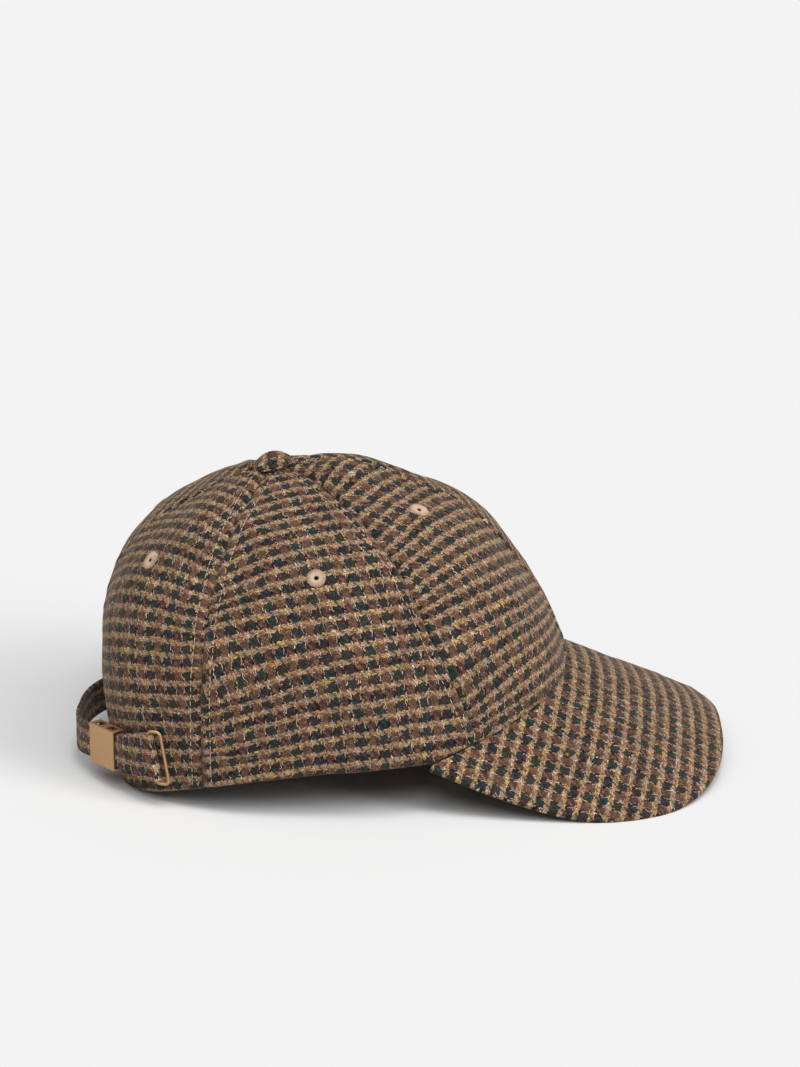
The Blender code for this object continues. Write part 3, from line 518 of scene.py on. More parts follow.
def weave_group():
    n, given, made = new_group(
        "Tweed weave", "Shader",
        (("Cloth", "Vector", None), ("Pitch", "Float", 0.00078), ("Wander", "Float", 1.0),
         ("Fleck", "Float", 0.4), ("Nep share", "Float", 0.0018)),
        (("Color", "Color"), ("Height", "Float")))
    cloth, pitch, wander, floor = given["Cloth"], given["Pitch"], given["Wander"], math.floor

    def either(test, yes, no):
        """yes where the test is 1 and no where it is 0."""
        return no + test * (yes - no)

    def swing(value, reach):
        """A noise value moved round zero and widened."""
        return (value - 0.5) * reach

    def least(value, limit):
        return n.math("MINIMUM", value, limit)

    def most(value, limit):
        return n.math("MAXIMUM", value, limit)

    def yarn(name, value):
        return n.bands(value, YARNS[name])

    # places counted in threads, which wander a little and sit unevenly beside each other
    # bare numbers that follow a thread inside random() are fixed seeds
    x = n.add("ShaderNodeSeparateXYZ", {0: cloth})
    y = x.beside("Y")
    bend = swing(n.noise(cloth, 350.0, 1.0), 1.5) + swing(n.noise(cloth, 900.0, 0.0), 0.9)
    sag = swing(n.noise(cloth, 160.0, 1.0), 1.9) + swing(n.noise(cloth, 800.0, 0.0), 0.8)
    u, v = x / pitch + bend * wander, y / pitch + sag * wander
    v = v + swing(n.random(floor(u), 3.3, 0.5), 0.95)
    u = u + swing(n.random(floor(v), 7.7, 0.5), 0.95)
    i, j = floor(u), floor(v)
    fu, fv = u - i, v - j

    # the two yarns that cross here, and which lies on top
    end, pick = i % (2 * BAND_ENDS), j % (2 * BAND_PICKS)
    warp_light, weft_light = end % BAND_ENDS > LIGHT_END, pick % BAND_PICKS > LIGHT_PICK
    warp_dark, weft_dark = end < TEAL_END, pick < DARK_PICK
    phase = (i + j) % 4.0
    span = either(weft_light, 1.0 + warp_light, 2.0 + warp_dark)
    warp_top = phase < span - 0.5

    # every yarn changes its tint after a short length
    def yarns(way, thread, along, seed, length, light, dark):
        start = n.random(thread, seed, 1.7) * 9.0
        tint = n.random(thread, floor(along / length + start), seed)
        return n.mix(light, n.mix(dark, yarn("brown " + way, tint), yarn("dark " + way, tint)),
                     yarn("light " + way, tint))

    warp = yarns("warp", i, v, 3.1, 3.4, warp_light, warp_dark)
    weft = yarns("weft", j, u, 7.9, 3.0, weft_light, weft_dark)

    # how far a point is along its float and from the middle of its yarn
    warp_run, weft_run = phase + fv, (phase - span + fu) / (4.0 - span)
    slant = (warp_run - span * 0.5) * 0.13

    def crown(off, run):
        """The round of a yarn across it, times its rise and fall along its float."""
        across = 1.0 - least(off / HALF_YARN, 1.0) ** 2.0
        return across * (0.4 + n.math("SINE", run * math.pi) * 0.6)

    warp_rise, weft_rise = crown(abs(fu - 0.5 + slant), warp_run / span), crown(abs(fv - 0.5), weft_run)
    rise = most(either(warp_top, warp_rise, weft_rise), 0.0) ** 0.7

    # a light end in a dark band is a thin tick that hangs down or rises, with the band beside it
    thin = warp_light * (1.0 - weft_light)
    above, row = v % BAND_PICKS, floor(v / BAND_PICKS)
    below = 5.0 - above
    first = end % BAND_ENDS < 4.5
    hang = either(first, 1.2, 0.4) + either(first, 3.2, 2.4) * n.random(i, row, 17.0)
    climb = 0.6 + n.random(i, row, 19.0) * 2.0 - above
    reach = most(hang - below, climb - first * 9.0)
    lean = (below % 3.0 - 1.2) * 0.07
    beside = least(most((0.35 - abs(fu - 0.5 - lean)) / 0.15, 0.0), 1.0)
    strength = 0.58 + n.random(i, floor(v * 0.7), 29.0) * 0.45
    tick = beside * least(most(reach * 2.0, 0.0), 1.0) * strength
    colour = n.mix(either(thin, tick, warp_top * (1.0 - weft_light * 0.12)), weft, warp)
    # painted shade: each yarn is painted lighter on its crown and darker at its edges, where the dips between
    # yarns are, and the weft beside a tick is painted darker. The weft laid over teal ends in the dark bands
    # is made darker too
    crossing = warp_dark * (1.0 - weft_light) * (1.0 - warp_top)
    painted_shade_and_tone = either(thin, 0.56 + tick * 0.56, 0.58 + rise * 0.57) - crossing * 0.26

    # fibres of other colours spun into the yarns, mostly into the light ones
    fine = n.noise(n.vector(u * 3.4, v * 3.4, 4.0), 1.0, 2.0)
    share = 0.4 + either(warp_top, warp_light, weft_light) * 0.9 - warp_top * warp_dark * 0.37
    spot = n.random(floor(u * 1.9), floor(v * 1.9), 2.2)
    colour = n.mix(fine ** 1.5 * given["Fleck"] * share, colour, yarn("heather", spot))
    luck = n.random(floor(u / 1.5), floor(v / 1.2), 9.4) / given["Nep share"]
    colour = n.mix((luck < 1.0) * 0.85, colour, yarn("nep", luck))

    # every float has its own tone, and the cloth's is uneven, coarsely and finely
    uneven = 0.86 + n.noise(cloth, 50.0, 2.0) * 0.28
    float_start = either(warp_top, j, i) - either(warp_top, phase, phase - span)
    own = n.random(either(warp_top, i, j), float_start, warp_top + 5.5)
    grain = n.noise(n.vector(u * 1.5, v * 1.5, 8.0), 1.0, 3.0)
    fibre = (0.7 + fine * 0.6) + (swing(own, 0.22) + swing(grain, 1.3))
    # the yarns' painted shade times the cloth's own uneven tone, as screen greys that darken the colour
    tone_times_painted_shade = (painted_shade_and_tone * uneven * fibre) ** SCREEN_GAMMA
    n.feed(made["Color"], n.mix(1.0, colour, n.vector(tone_times_painted_shade, tone_times_painted_shade, tone_times_painted_shade), "MULTIPLY"))
    n.feed(made["Height"], rise + tick * thin + fine * 0.5)
    return n.tree


def dress(n, values):
    """Set or link values on the shader's own sockets."""
    for name, value in values.items():
        n.feed(n.tree.nodes["Principled BSDF"].inputs[name], value)


def new_material(name, values):
    """A material with values on its shader, and its node helper."""
    material = bpy.data.materials.new(name)
    material.use_nodes = True
    n = Nodes(material.node_tree)
    dress(n, values)
    return material, n


def plain_material(name, colour, roughness, specular=0.5, sheen=0.0):
    return new_material(name, {"Base Color": colour, "Roughness": roughness,
                               "Specular IOR Level": specular, "Sheen Weight": sheen})[0]


TWEED, n = new_material("tweed", {
    "Roughness": 0.95, "Specular IOR Level": 0.15,
    "Sheen Weight": 0.38, "Sheen Roughness": 0.28, "Sheen Tint": srgb(224, 204, 178)})
woven = n.add("ShaderNodeGroup", {"Cloth": n.add("ShaderNodeUVMap", uv_map="cloth")}, "Color",
              node_tree=weave_group())
dress(n, {"Base Color": woven, "Normal": n.bump(woven.beside("Height"), 0.7, 0.0003)})

THREAD = plain_material("eyelet thread", srgb(206, 178, 152), 0.8, sheen=0.2)
STITCH = plain_material("seam thread", srgb(214, 190, 158), 0.85, sheen=0.2)

# a matte gilt metal with a fine grain
GILT, n = new_material("gilt", {"Base Color": srgb(196, 154, 106), "Roughness": 0.46, "Metallic": 0.75})
grain = n.noise(n.add("ShaderNodeTexCoord", output="Object"), 2600.0, 3.0)
dress(n, {"Base Color": n.mix(grain, srgb(176, 134, 90), srgb(212, 172, 126)),
          "Roughness": 0.36 + grain * 0.2, "Normal": n.bump(grain, 0.25, 0.00005)})

# %% [markdown]
# ## The six gores
# Each gore runs from its rim to the button between two seams. The back gores start from the edge of
# the half-moon opening. Rows of the weave lean with the cap on the side and back gores.

# %%
GORES, HANDS = ("front", "side", "back"), ((-1, "right"), (1, "left"))
GRAIN_LEAN = {"front": 0.0, "side": math.radians(4.5), "back": math.radians(13.0)}
GORE_ROWS, GORE_COLUMNS = 92, 76
CORNER_SHARE = 5 / 12            # share of a back gore's columns before the opening
SEAM_SINK, SEAM_SPREAD, HEM_LINE, RIM_ROLL = 0.0012, 0.0011, 0.0062, 0.0009
STITCH_LINE, STITCH_SINK, STITCH_SPREAD = 0.0043, 0.00035, 0.0006
GATHERS = 26                     # round the button


def gore_feet(gore, shares):
    """Share of the gore's width and climb at its lower edge, for shares of its top."""
    start, end = SEAMS[gore], SEAMS[gore + 1]
    bearings = start + (end - start) * shares
    if gore < 2:
        return shares, climb_at(bearings, rim_height(bearings))
    corner = opening_foot(np.array([0.0]))[0][0]
    early = start + (corner - start) * np.clip(shares / CORNER_SHARE, 0, 1)
    opened = np.clip((shares - CORNER_SHARE) / (1 - CORNER_SHARE), 0, 1)
    arch_bearing, arch_climb = opening_foot(math.pi / 2 * opened)
    bearings = np.where(shares < CORNER_SHARE, early, arch_bearing)
    climbs = np.where(shares < CORNER_SHARE, climb_at(early, rim_height(early)), arch_climb)
    return (bearings - start) / (end - start), climbs


def gore_grid(gore, side):
    """Bearing and climb of each point of a gore."""
    shares, rises = packed_rows(GORE_COLUMNS, 0.55), packed_rows(GORE_ROWS, 0.45)[:, None]
    feet, foot_climbs = gore_feet(gore, shares)
    top_bearings = side * (SEAMS[gore] + (SEAMS[gore + 1] - SEAMS[gore]) * shares)
    tops = climb_near_button(top_bearings, BUTTON_RADIUS * BUTTON_SEAT)
    share = feet + (shares - feet) * rises
    climb = foot_climbs + (tops - foot_climbs) * rises
    start, end = seam_bearing(gore, climb), seam_bearing(gore + 1, climb)
    return side * (start + (end - start) * share), climb

def ease(value, low, high):
    share = np.clip((value - low) / (high - low), 0, 1)
    return share * share * (3 - 2 * share)


def bend_grain(gore, across, along):
    """How far the rows of a gore's weave are drawn off their level lines by the crown's block.

    Rows slope by a share of the way across, and near the rim they slope otherwise and curve.
    """
    if gore == 0:
        low = 1 - ease(along, 0.012, 0.050)
        near = np.clip(across, -0.045, 0.0)
        return (1 - low) * 0.17 * across + low * ((near + 0.028) ** 2 * 4.0 - 0.23 * (near + 0.028))
    if gore == 1:
        low = 1 - ease(along, 0.035, 0.085)
        return across * (0.08 - 0.13 * low) + 1.8 * low * across ** 2
    near = np.clip(across, 0.0, 0.045)
    return 1.6 * (near - 0.02) ** 2 - 0.064 * np.minimum(across, 0)


def make_gore(gore, side, hand):
    """A gore, and its outer points, normals and distances from both seams for the stitches."""
    bearing, climb = gore_grid(gore, side)
    base = crown_face(bearing, climb)
    normal = form_normal(bearing, climb, crown_face)
    from_start, from_foot = runs(base, 1), runs(base, 0)
    to_end = from_start[:, -1:] - from_start
    seam = np.minimum(from_start, to_end)
    lift = -SEAM_SINK * line(seam, 0, SEAM_SPREAD) + 0.00025 * line(seam, 0.0026, 0.0013)
    lift -= fold(from_foot, RIM_ROLL)
    # middling waves, broad ones, and puckers beside the seams
    lift += 0.00022 * waves(base, 11 + gore * 2 + side, 0.019) + 0.0003 * waves(base, 31 + gore + side, 0.046)
    lift += 0.0003 * waves(base, 51 + gore, 0.0075) * np.exp(-seam / 0.007)
    for gap in (from_start, to_end) if gore < 2 else ():
        lift -= STITCH_SINK * line(gap, STITCH_LINE, STITCH_SPREAD)
    lift -= 0.0002 * line(from_foot, HEM_LINE, 0.0008)
    from_button = np.hypot(base[..., 0] - BUTTON_X, base[..., 1])
    lift *= np.clip((from_button - 0.004) / 0.012, 0.3, 1)
    lift += 0.00035 * np.sin(GATHERS * bearing) * line(from_button, 0.0115, 0.0035)
    lift -= 0.0004 * line(from_button, BUTTON_RADIUS, 0.002)
    outer = base + normal * lift[..., None]
    inner = base - normal * (WALL - fold(from_foot, RIM_ROLL) * 0.6)[..., None]
    inner[0, :, 2] = outer[0, :, 2] = base[0, :, 2]
    spine = base[:, GORE_COLUMNS // 2]
    if gore == 2:
        spine = crown_face(np.full(60, side * (SEAMS[2] + SEAMS[3]) / 2), np.linspace(0.0, 0.96, 60))
    uv = map_gore(base, spine, GRAIN_LEAN[GORES[gore]])
    uv[..., 1] += bend_grain(gore, uv[..., 0], uv[..., 1])
    uv = uv + np.array((0.031 * gore + 0.017 * side, 0.0113 * gore + 0.0041 * side))
    made = shell(f"gore_{GORES[gore]}_{hand}", outer, inner, uv, TWEED, turned=side < 0)
    return made, outer, normal, from_start, to_end


def eyelet_place(gore, across, climb, side):
    start, end = seam_bearing(gore, climb), seam_bearing(gore + 1, climb)
    spot = np.array(side * (start + (end - start) * across)), np.array(climb)
    return crown_face(*spot), form_normal(*spot, crown_face)


def standing(place, axis):
    """The move that stands a thing along an axis at a point round the crown's middle."""
    turn = Vector(axis).to_track_quat("Z", "Y").to_matrix().to_4x4()
    return Matrix.Translation(Vector(place) - Vector((MIDDLE_X, 0, 0))) @ turn


def kept(made):
    """What an object's modifiers make, as a mesh of its own."""
    bpy.context.view_layer.update()
    return bpy.data.meshes.new_from_object(made.evaluated_get(bpy.context.evaluated_depsgraph_get()))


def settle(made):
    whole = kept(made)
    made.modifiers.clear()
    made.data = whole


def punch(made, place, axis):
    """Cut an eyelet's round hole through a gore."""
    mesh, shape, radius = bpy.data.meshes.new("cutter"), bmesh.new(), EYELET_HOLE_RADIUS * 1.5
    bmesh.ops.create_cone(shape, cap_ends=True, segments=24, radius1=radius, radius2=radius, depth=WALL * 4)
    shape.to_mesh(mesh)
    shape.free()
    mesh.transform(standing(place, axis))
    cutter = add_object("cutter", mesh)
    cut = made.modifiers.new("hole", "BOOLEAN")
    cut.object, cut.solver = cutter, "FAST"
    settle(made)
    bpy.data.objects.remove(cutter, do_unlink=True)


stitch_paths = []
for side, hand in HANDS:
    for gore, name in enumerate(GORES):
        made, outer, normal, from_start, to_end = make_gore(gore, side, hand)
        punch(made, *eyelet_place(gore, *EYELETS[gore][1:], side))
        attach(made, "root")
        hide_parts(f"panel_{name}_{hand}")
        rows = np.arange(3, GORE_ROWS - 4)
        for gap in {"front": (), "side": (to_end, from_start), "back": (from_start,)}[name]:
            near = np.abs(gap[rows] - STITCH_LINE).argmin(1)
            stitch_paths.append((f"{name}_{hand}", outer[rows, near] + normal[rows, near] * 0.00008))

# %% [markdown]
# ## The peak
# A stiff board under cloth that bends down at both sides. It starts under the gores, and its top and
# underside meet in a rolled edge.

# %%
PEAK_ROWS, PEAK_COLUMNS = 52, 150
PEAK_TUCK = 0.0016 / 0.07        # share of the peak's length that goes in under the gores


def peak_half_width(x):
    tip = np.clip((x - PEAK_WIDEST_X) / (PEAK_TIP_X - PEAK_WIDEST_X), 0, 1)
    root = (PEAK_WIDEST_X - x) / (PEAK_WIDEST_X - PEAK_CORNER_X)
    return np.where(x >= PEAK_WIDEST_X, PEAK_HALF_WIDTH * (1 - tip ** PEAK_ROUNDNESS) ** (1 / PEAK_ROUNDNESS),
                    PEAK_HALF_WIDTH - (PEAK_HALF_WIDTH - PEAK_CORNER_HALF_WIDTH) * root ** 2)


def peak_edge(share):
    """Lower outer edge, from the middle of the tip to the left corner, for shares of it."""
    turn = share * 2
    angle = math.pi / 2 * np.clip(turn, 0, 1)
    x = PEAK_WIDEST_X + (PEAK_TIP_X - PEAK_WIDEST_X) * np.cos(angle) ** (2 / PEAK_ROUNDNESS)
    y = PEAK_HALF_WIDTH * np.sin(angle) ** (2 / PEAK_ROUNDNESS)
    straight = PEAK_WIDEST_X + (PEAK_CORNER_X - PEAK_WIDEST_X) * np.clip(turn - 1, 0, 1)
    x = np.where(turn <= 1, x, straight)
    y = np.where(turn <= 1, y, peak_half_width(straight))
    lowest = float(peak_half_width(np.array(PEAK_LOWEST_X)))
    near_tip = PEAK_TIP_HEIGHT * (1 - np.clip(np.abs(y) / lowest, 0, 1) ** 1.4)
    near_root = RIM_CORNER * np.clip((PEAK_LOWEST_X - x) / (PEAK_LOWEST_X - PEAK_CORNER_X), 0, 1) ** 1.5
    return np.stack((x, y, np.where(x >= PEAK_LOWEST_X, near_tip, near_root)), -1)


def make_peak():
    fine = peak_edge(np.linspace(0, 1, 801))
    length = runs(fine[None], 1)[0]
    shares = packed_rows(PEAK_COLUMNS, 0.25) * 2 - 1
    wanted = np.abs(shares) * length[-1]
    ends = np.stack([np.interp(wanted, length, fine[:, k]) for k in range(3)], -1)
    ends[:, 1] *= np.sign(shares)
    bearing = shares * PEAK_CORNER
    roots = crown_face(bearing, climb_at(bearing, rim_height(bearing)))
    roots[:, 2] = rim_height(bearing) - SEAM_GAP
    rises = packed_rows(PEAK_ROWS, 0.6)[:, None, None]
    rises = (1 + PEAK_TUCK) * rises - PEAK_TUCK
    top = roots + (ends - roots) * rises
    top[..., 2] += PEAK_SWELL * np.sin(math.pi * np.clip(rises[..., 0], 0, 1))
    normal = -grid_normals(top)
    root_run, side_run = runs(top, 0), runs(top, 1)
    edge = np.minimum(root_run[-1:] - root_run, np.minimum(side_run, side_run[:, -1:] - side_run) + 0.0004)
    half = PEAK_THICKNESS / 2
    lift = -fold(edge, half) + 0.0002 * waves(top, 71, 0.03) + 0.00012 * waves(top, 72, 0.012)
    outer = top + normal * lift[..., None]
    inner = top - normal * (PEAK_THICKNESS - fold(edge, half))[..., None]
    outer[..., 2], inner[..., 2] = np.maximum(outer[..., 2], 0.0002), np.maximum(inner[..., 2], 0.0)
    # the board bends about a line that slopes down to the tip, and the cloth's rows cross that line
    root, tip = top[0, PEAK_COLUMNS // 2], top[-1, PEAK_COLUMNS // 2]
    slope = math.atan2(root[2] - tip[2], tip[0] - root[0])
    ridge = root[2] - (top[..., 0] - root[0]) * math.tan(slope)
    across = arc(top[..., 1], np.maximum(ridge - top[..., 2], 0) * math.cos(slope))
    along = top[..., 0] * math.cos(slope) - top[..., 2] * math.sin(slope)
    uv = np.stack((across + 0.0023, along + 0.0031), -1)
    return shell("peak_cloth", outer, inner, uv, TWEED, turned=True)


peak = make_peak()
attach(peak, "root")
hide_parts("peak")

# %% [markdown]
# ## The button
# A small dome of the same cloth, drawn in round its foot.

# %%
BUTTON_SINK = 0.0003             # the cloth round the button gives way under it
BUTTON_RINGS, BUTTON_SIDES, PLEATS = 22, 64, 11


def make_button():
    quarters = np.array([math.pi / 2 * k for k in range(4)])
    ends = crown_face(quarters, climb_near_button(quarters, BUTTON_RADIUS))
    axis = unit(np.cross(ends[0] - ends[2], ends[1] - ends[3]))
    around = np.linspace(0, 2 * math.pi, 12, endpoint=False)
    foot = np.array((BUTTON_X, 0, CROWN_HEIGHT))
    under = np.concatenate([crown_face(around, climb_near_button(around, BUTTON_RADIUS * share))
                            for share in (BUTTON_SEAT, 0.75, 0.9, 1.0)])
    seat = ((under - foot) @ axis).max() - BUTTON_SINK
    turn = np.array(Vector(axis).to_track_quat("Z", "Y").to_matrix())
    way = np.linspace(0, 2 * math.pi, BUTTON_SIDES, endpoint=False)
    rise = np.linspace(0, 1, BUTTON_RINGS)[:, None]
    angle = math.pi / 2 * rise
    radius = np.cos(angle) * (1 + 0.03 * np.sin(PLEATS * way + 0.6) * np.cos(angle) ** 2)
    height = BUTTON_HEIGHT * (0.02 + 0.98 * np.sin(angle) ** 1.5)
    # a smaller ring of points closes the button's foot
    radius = BUTTON_RADIUS * np.concatenate((np.full((1, BUTTON_SIDES), 0.86), radius))
    height = np.concatenate(([[0.0]], height))
    spread = BUTTON_RADIUS * np.concatenate(([[1.35]], 1.25 * (1 - rise)))
    points = np.stack(np.broadcast_arrays(radius * np.cos(way), radius * np.sin(way), height), -1)
    uvs = np.stack((spread * np.cos(way) + 0.004, spread * np.sin(way) + 0.0015), -1)
    faces = tube_faces(BUTTON_RINGS + 1, BUTTON_SIDES)
    faces.append(tuple(reversed(range(BUTTON_SIDES))))
    faces.append(tuple(BUTTON_RINGS * BUTTON_SIDES + s for s in range(BUTTON_SIDES)))
    points = points.reshape(-1, 3) @ turn.T + foot + axis * seat
    return add_mesh("button_cloth", points, faces, TWEED, uvs.reshape(-1, 2))


button = make_button()
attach(button, "root")
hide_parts("top_button")

# %% [markdown]
# ## The strap
# The strap leaves the left back gore, runs straight through the clasp, folds round the ring's inner
# bar and comes back under itself into the clasp. Its cloth is one sheet with rolled long edges.

# %%
STRAP_STEP, FOLD_STEPS, STRAP_ROWS = 0.9, 18, 17
STRAP_HEM = 0.0022               # from the strap's edges to the furrows beside them
LAYER_GAP = STRAP_THICKNESS + SEAM_GAP
FOLD_RADIUS = (RING_WIRE + STRAP_THICKNESS) / 2 + SEAM_GAP


def clasp_ends():
    """Where the strap enters and leaves the clasp, which it runs straight through."""
    start = strap_spine(CLASP_BEARING)

    def past_end(bearing):
        return np.linalg.norm(strap_spine(bearing) - start) - CLASP_LENGTH

    end = float(solve(past_end, CLASP_BEARING, RING_BEARING))
    return start, strap_spine(end), end


def ring_frame():
    """Middle of the ring's inner bar, with the outward, along and leaning up directions there."""
    bar, out = strap_place(RING_BEARING, STRAP_CLEARANCE + STRAP_THICKNESS / 2 + FOLD_RADIUS)
    along = np.array((-out[1], out[0], 0.0))
    lean = math.radians(STRAP_LEAN)
    return bar, out, along, np.array((0, 0, math.cos(lean))) - along * math.sin(lean)


def strap_stations():
    """Middles, outward and up directions and widths of the strap's cross-sections."""
    start, end, end_bearing = clasp_ends()
    chord_out = unit(np.array(((end - start)[1], -(end - start)[0], 0.0)))
    upright = np.array((0, 0, 1.0))
    bar, bar_out, bar_along, bar_up = ring_frame()
    spots = []

    def station(place, bearing, facing=1):
        share = min(max((bearing - end_bearing) / (RING_BEARING - end_bearing), 0), 1)
        share = share * share * (3 - 2 * share)
        out = foot_outline(bearing, place[2])[1]
        lean = math.radians(STRAP_LEAN) * share
        up = upright * math.cos(lean) - np.array((-out[1], out[0], 0.0)) * math.sin(lean)
        spots.append((place, out * facing, up, STRAP_WIDTH + (STRAP_TAIL_WIDTH - STRAP_WIDTH) * share))

    for bearing in np.arange(STRAP_ROUTE[0, 0], CLASP_BEARING - STRAP_STEP / 2, STRAP_STEP):
        station(strap_spine(bearing), bearing)
    for share in np.linspace(0, 1, 6):
        spots.append((start + (end - start) * share, chord_out, upright, STRAP_WIDTH))
    after = round((RING_BEARING - end_bearing) / STRAP_STEP)
    for bearing in np.linspace(end_bearing, RING_BEARING, after + 1)[1:-1]:
        station(strap_spine(bearing), bearing)
    for turn in np.linspace(0, math.pi, FOLD_STEPS + 1):
        out = bar_out * math.cos(turn) + bar_along * math.sin(turn)
        spots.append((bar + out * FOLD_RADIUS, out, bar_up, STRAP_TAIL_WIDTH))
    low = STRAP_CLEARANCE + STRAP_THICKNESS / 2
    high = float(read_rows(STRAP_ROUTE, end_bearing)[0]) * STRAP_BOW - LAYER_GAP
    for share in np.linspace(0, 1, after + 1)[1:-1]:
        bearing = RING_BEARING + (end_bearing - RING_BEARING) * share
        station(strap_place(bearing, low + (high - low) * share ** 2)[0], bearing, -1)
    for share in (1.0, 0.6, 0.2):
        under = start + (end - start) * share - chord_out * LAYER_GAP
        spots.append((under, -chord_out, upright, STRAP_WIDTH))
    return [np.array(part) for part in zip(*spots)]


def make_strap():
    middles, outs, ups, widths = strap_stations()
    shares = (packed_rows(STRAP_ROWS, 0.7) - 0.5)[:, None]
    base = middles + ups * (widths * shares)[..., None]
    edge = (0.5 - np.abs(shares)) * widths
    half = STRAP_THICKNESS / 2
    roll = fold(edge, half)
    soft = 0.00008 * waves(base, 91, 0.011) + 0.00006 * waves(base, 92, 0.005)
    soft = soft - 0.00015 * line(edge, STRAP_HEM, 0.0005)
    outer = base + outs * (half - roll + soft)[..., None]
    inner = base - outs * (half - roll - soft)[..., None]
    along = runs(middles[None], 1)
    uv = np.stack(np.broadcast_arrays(along + 0.0021, widths * shares + 0.0207), -1)
    return shell("strap_cloth", outer, inner, uv, TWEED)


strap = make_strap()
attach(strap, "root")
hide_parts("strap")

# %% [markdown]
# ## The clasp and the ring
# The clasp is a flat sleeve of sheet metal round both layers of the strap, with two slots in its top
# and a bare face. The ring is a frame of round wire.

# %%
def finish_metal(made, width):
    """Round a metal piece's edges and keep the result."""
    round_edges = made.modifiers.new("round", "BEVEL")
    round_edges.width, round_edges.segments, round_edges.limit_method = width, 3, "ANGLE"
    round_edges.harden_normals = True
    settle(made)


def make_clasp():
    start, end, _ = clasp_ends()
    along = unit(end - start)
    out = unit(np.array((along[1], -along[0], 0.0)))
    front = STRAP_THICKNESS / 2 + SEAM_GAP
    back = -front - LAYER_GAP
    level = STRAP_WIDTH / 2 + SEAM_GAP
    points = []
    for grow_by in (CLASP_SHEET, 0.0):
        for place in (start, end):
            for side, height in ((front + grow_by, -level - grow_by), (front + grow_by, level + grow_by),
                                 (back - grow_by, level + grow_by), (back - grow_by, -level - grow_by)):
                points.append(place + out * side + np.array((0, 0, height)))
    faces = []
    for k in range(4):
        nxt = (k + 1) % 4
        faces += [(k, 4 + k, 4 + nxt, nxt), (8 + k, 8 + nxt, 12 + nxt, 12 + k),
                  (k, nxt, 8 + nxt, 8 + k), (4 + k, 12 + k, 12 + nxt, 4 + nxt)]
    made = add_mesh("clasp_metal", points, faces, GILT)
    cutters = []
    for share in (-0.24, 0.24):
        bpy.ops.mesh.primitive_cube_add(size=1)
        cutter = bpy.context.object
        place = (start + end) / 2 + along * CLASP_LENGTH * share + out * (front + back) / 2
        cutter.location = place + (-MIDDLE_X, 0, level + CLASP_SHEET / 2)
        cutter.rotation_euler = (0, 0, math.atan2(along[1], along[0]))
        cutter.scale = (CLASP_SLOT, (front - back) * 0.8, CLASP_SHEET * 6)
        cut = made.modifiers.new("slot", "BOOLEAN")
        cut.object, cut.solver = cutter, "EXACT"
        cutters.append(cutter)
    finish_metal(made, 0.00022)
    for cutter in cutters:
        bpy.data.objects.remove(cutter, do_unlink=True)
    return made


RING_SIDES = 16


def make_ring():
    bar, out, along, up = ring_frame()
    reach, rest = RING_WIDTH - RING_WIRE, RING_WIRE / 2 + RING_CLEARANCE
    fall = (bar - foot_outline(RING_BEARING, bar[2])[0]) @ out - rest
    across = unit(along * reach - out * fall)
    half = STRAP_TAIL_WIDTH / 2 + RING_MARGIN + RING_WIRE / 2
    corner = RING_WIRE * 1.5
    face_out = unit(np.cross(across, up))
    path = []
    for cx, cy, begin in ((1, 1, 0), (-1, 1, 90), (-1, -1, 180), (1, -1, 270)):
        for angle in np.radians(begin + np.linspace(0, 90, 9)):
            path.append(bar + across * (reach / 2 + cx * (reach / 2 - corner) + corner * math.cos(angle))
                        + up * (cy * (half - corner) + corner * math.sin(angle)))
    path = np.array(path)
    run = unit(np.roll(path, -1, 0) - np.roll(path, 1, 0))[:, None]
    angle = np.linspace(0, 2 * math.pi, RING_SIDES, endpoint=False)[:, None]
    around = np.cross(run, face_out) * np.cos(angle) + face_out * np.sin(angle)
    points = (path[:, None] + around * RING_WIRE / 2).reshape(-1, 3)
    faces = [tuple(corner % len(points) for corner in reversed(face))
             for face in tube_faces(len(path) + 1, RING_SIDES)]
    return add_mesh("ring_metal", points, faces, GILT)


for made, replaced in ((make_clasp(), "clasp"), (make_ring(), "ring")):
    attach(made, "root")
    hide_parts(replaced)

# %% [markdown]
# ## Geometry Nodes for what repeats
# One group lays stitches along a path, and one wraps thread round an eyelet. Each is built here with
# named inputs and a fixed seed, and its result is kept as a plain mesh.

# %%
def lay(n, given, made, points, body, turn, size):
    """Set a body on every point, and give the whole its material."""
    laid = n.add("GeometryNodeInstanceOnPoints",
                 {"Points": points, "Instance": body, "Rotation": turn, "Scale": size})
    real = n.add("GeometryNodeRealizeInstances", {"Geometry": laid})
    smooth = n.add("GeometryNodeSetShadeSmooth", {"Geometry": real})
    painted = n.add("GeometryNodeSetMaterial", {"Geometry": smooth, "Material": given["Material"]})
    n.feed(made["Geometry"], painted)
    return n.tree


def vary(n, given, low, high):
    """A random share for each thing that is laid."""
    return n.add("FunctionNodeRandomValue", {"Seed": given["Seed"], 2: low, 3: high}, 1, data_type="FLOAT")


def stitch_group():
    """Short stitches, end to end, along a curve."""
    n, given, made = new_group(
        "Stitch row", "Geometry",
        (("Geometry", "Geometry", None), ("Pitch", "Float", 0.0030), ("Stitch length", "Float", 0.0023),
         ("Thickness", "Float", 0.00028), ("Seed", "Int", 4), ("Material", "Material", None)),
        (("Geometry", "Geometry"),))
    even = n.add("GeometryNodeResampleCurve", {"Curve": given["Geometry"], "Length": given["Pitch"]},
                 mode="LENGTH")
    turn = n.add("FunctionNodeAlignRotationToVector", {"Vector": n.add("GeometryNodeInputTangent")}, axis="Z")
    radius = given["Thickness"] * 0.5
    body = n.add("GeometryNodeMeshUVSphere", {"Segments": 8, "Rings": 6, "Radius": radius})
    stretch = n.vector(1.0, 1.0, given["Stitch length"] / given["Thickness"])
    size = n.add("ShaderNodeVectorMath", {0: stretch, "Scale": vary(n, given, 0.85, 1.1)}, operation="SCALE")
    return lay(n, given, made, even, body, turn, size)


